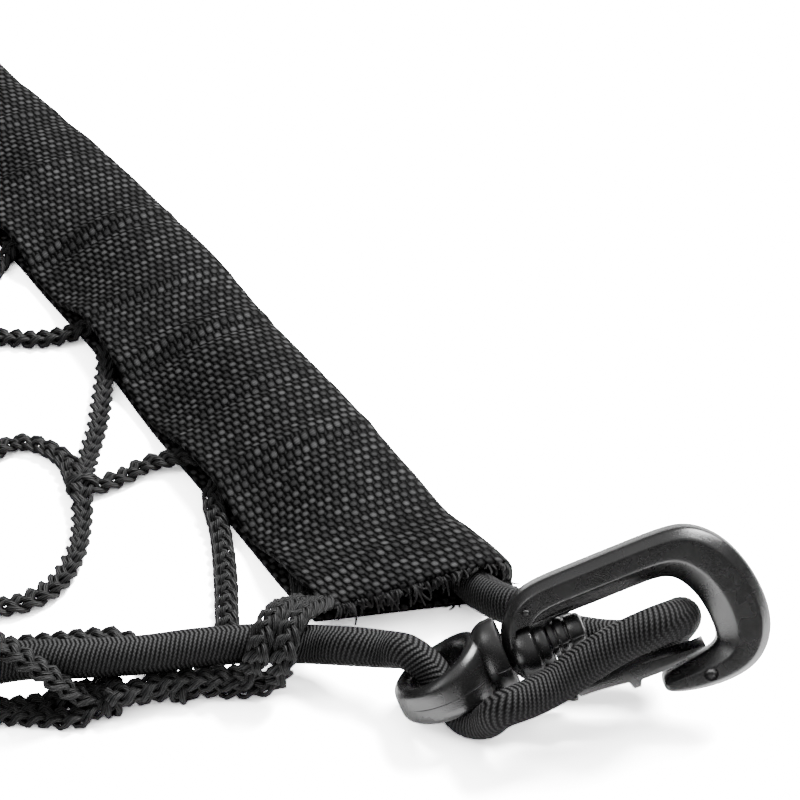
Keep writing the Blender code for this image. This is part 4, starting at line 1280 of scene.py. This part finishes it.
def floats(shift):
    """Domes of the crosswise yarn where it comes up in every second column, and their painted
    highlight.
    """
    columns = calc(tree, "MULTIPLY_ADD", on_columns, 0.5, shift)
    rows = calc(tree, "ADD", on_rows, shift)
    column, row = calc(tree, "ROUND", columns), calc(tree, "ROUND", rows)
    number = add_node(tree, "CombineXYZ", {0: column, 1: row, 2: shift}).outputs[0]
    own = add_node(tree, "TexWhiteNoise", {0: number}, noise_dimensions="3D").outputs[0]
    aside = calc(tree, "DIVIDE", calc(tree, "SUBTRACT", columns, column), FLOAT_WIDE / 2)
    ahead = calc(tree, "DIVIDE", calc(tree, "SUBTRACT", calc(
        tree, "MULTIPLY_ADD", own, FLOAT_STRAYS, rows), calc(tree, "ADD", row, FLOAT_STRAYS / 2)),
        FLOAT_LONG)
    far = calc(tree, "ADD", calc(tree, "POWER", calc(tree, "ABSOLUTE", aside), 2.5),
               calc(tree, "MULTIPLY", ahead, ahead))
    dome = calc(tree, "SQRT", calc(tree, "MAXIMUM", calc(tree, "SUBTRACT", 1.0, far), 0.0))
    return dome, calc(tree, "MULTIPLY", dome, calc(tree, "MULTIPLY_ADD", own, 0.4, 0.7))


dome, painted_shine = floats(0.0)
next_dome, next_painted_shine = floats(0.5)
gap = calc(tree, "MULTIPLY", wave(tree, calc(tree, "ADD", on_columns, 0.5)), RIDGE)
height = calc(tree, "MAXIMUM", calc(tree, "MAXIMUM", dome, next_dome), gap)
filament = threads_on(tree, on_columns, on_rows, count=11.0, twist=0.3)
# Painted highlight on the floats and ridges; the rest keeps the deep colour as painted shade
highlight_mask = calc(tree, "POWER", calc(tree, "MAXIMUM", painted_shine, next_painted_shine), 2.5)
highlight_mask = calc(tree, "MAXIMUM", highlight_mask, calc(tree, "MULTIPLY", gap, RIDGE_LIT))
highlight_mask = calc(tree, "MULTIPLY", highlight_mask, calc(tree, "MULTIPLY_ADD", filament, 0.45, 0.55))
finish_cloth(woven, place["Object"], deep=grey(0.0005), lit_and_worn=grey(0.135, 0.137), highlight_mask=highlight_mask,
             height=height, distance=0.0005, strength=1.0, specular=0.06)

# %% [markdown]
# The plastic is satin black. A very fine grain from the mould scatters its shine, and the line
# between the mould's halves runs round the middle of each part.

# %% Moulded plastic
PARTING_HALF, PARTING_RISE = 0.14, 1.6    # half width of the line in mm, height over the grain

plastic, tree, place = start_material("moulded_plastic")
moulded = add_node(tree, "Attribute", attribute_name="moulded_at").outputs["Vector"]
off_line = calc(tree, "DIVIDE", calc(tree, "ABSOLUTE", split(tree, moulded)[2]), PARTING_HALF)
parting = calc(tree, "SUBTRACT", 1.0, calc(tree, "MINIMUM", off_line, 1.0))
skin = noise_on(tree, moulded, scale=4.0, detail=4.0, roughness=0.65)
smear = noise_on(tree, moulded, scale=0.22, detail=3.0)
finish_surface(plastic, colour=blend(tree, smear, grey(0.008), grey(0.014, 0.0142)),
               roughness=calc(tree, "MULTIPLY_ADD", smear, 0.14, 0.20),
               height=calc(tree, "MULTIPLY_ADD", parting, PARTING_RISE, skin),
               distance=0.00005, strength=0.8, specular=1.0)

# %% Who wears what
for piece in net_quarters:
    piece.data.materials.append(yarn)
    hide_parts("net")
elastic.data.materials.append(cover)
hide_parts("elastic_cord")
for piece, node in zip(sleeves, ("sleeve_right", "sleeve_left")):
    piece.data.materials.append(woven)
    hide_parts(node)
for piece in frays:
    piece.data.materials.append(yarn)
for pieces, kind in ((hooks, "hook"), (gates, "gate"), (eyes, "eye")):
    for piece, corner in zip(pieces, CORNERS):
        piece.data.materials.clear()
        piece.data.materials.append(plastic)
        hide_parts(f"{kind}_{corner}")
for piece in [*net_quarters, elastic, *sleeves, *frays, *hooks, *gates, *eyes]:
    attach(piece, "root")

# %% [markdown]
# ## Floor and light
# The net lies on a pale seamless floor. The sky is bright only high up, so the fronts of the
# black parts stay dark, and a soft light behind on the right draws bright edges on their upper
# bevels and lets shadows fall to the left. The camera sees the floor overexposed, but the
# floor's reflection in the black parts stays far weaker, so their edges don't wash out.

# %% Floor
FLOOR_SIZE = 30.0             # metres: so wide that no view looks over its far side
FLOOR_LIFT = 17.0             # how much brighter the camera sees it than the pieces do
SHEEN_FRONT, SHEEN_BACK = 2.4, 0.5    # the same for reflections, in front of the net and behind
FRONT_Y, BACK_Y = -0.32, -0.12        # from where to where the one turns into the other

bpy.ops.mesh.primitive_plane_add(size=FLOOR_SIZE)
floor = bpy.context.object
floor.name = "floor"
paper, tree, place = start_material("pale_paper")
mottle = noise_on(tree, place["Object"], scale=6.0, detail=3.0)
rays = add_node(tree, "LightPath")
sheen = fall(tree, split(tree, place["Object"])[1], FRONT_Y, BACK_Y, SHEEN_FRONT - 1.0,
             SHEEN_BACK - 1.0)
tone = calc(tree, "MULTIPLY", calc(tree, "MULTIPLY_ADD", mottle, 0.04, 0.88),
            calc(tree, "MULTIPLY_ADD", rays.outputs["Is Camera Ray"], FLOOR_LIFT - 1.0,
                 calc(tree, "MULTIPLY_ADD", rays.outputs["Is Glossy Ray"], sheen, 1.0)))
shade = add_node(tree, "CombineColor", {0: tone, 1: tone, 2: tone}).outputs[0]
matt = add_node(tree, "BsdfDiffuse", {"Color": shade})
tree.links.new(matt.outputs[0], tree.nodes["Material Output"].inputs["Surface"])
tree.nodes.remove(tree.nodes["Principled BSDF"])
floor.data.materials.append(paper)


# %% Lights
SKY_FROM, SKY_FULL = 0.45, 0.85       # the sine of the height above the horizon
SKY_LOW, SKY_HIGH = 0.12, 0.72
LIGHTS = (                    # name, place, size, power
    ("behind_right", (1.40, 0.35, 1.35), 0.80, 74.0),
    ("right_above", (1.20, 0.05, 1.60), 0.30, 7.0),
    ("left", (-0.9, -0.1, 1.2), 0.5, 4.0),
)


def soft_light(name, place, size, power):
    """A square soft light that faces the shown corner."""
    bpy.ops.object.light_add(type="AREA", location=place)
    made = bpy.context.object
    made.name = name
    made.data.size = size
    made.data.energy = power
    aim = Vector(place) - CORNER * MM
    made.rotation_euler = aim.to_track_quat("Z", "Y").to_euler()
    return made


lights = [soft_light(*row) for row in LIGHTS]
world = bpy.data.worlds.new("surroundings")
world.use_nodes = True
tree = world.node_tree
rise = split(tree, add_node(tree, "TexCoord").outputs["Generated"])[2]
tree.links.new(fall(tree, rise, SKY_FROM, SKY_FULL, SKY_LOW, SKY_HIGH),
               tree.nodes["Background"].inputs[1])
tree.nodes["Background"].inputs[0].default_value = (1, 1, 1, 1)
bpy.context.scene.world = world
print("lights:", len(lights))
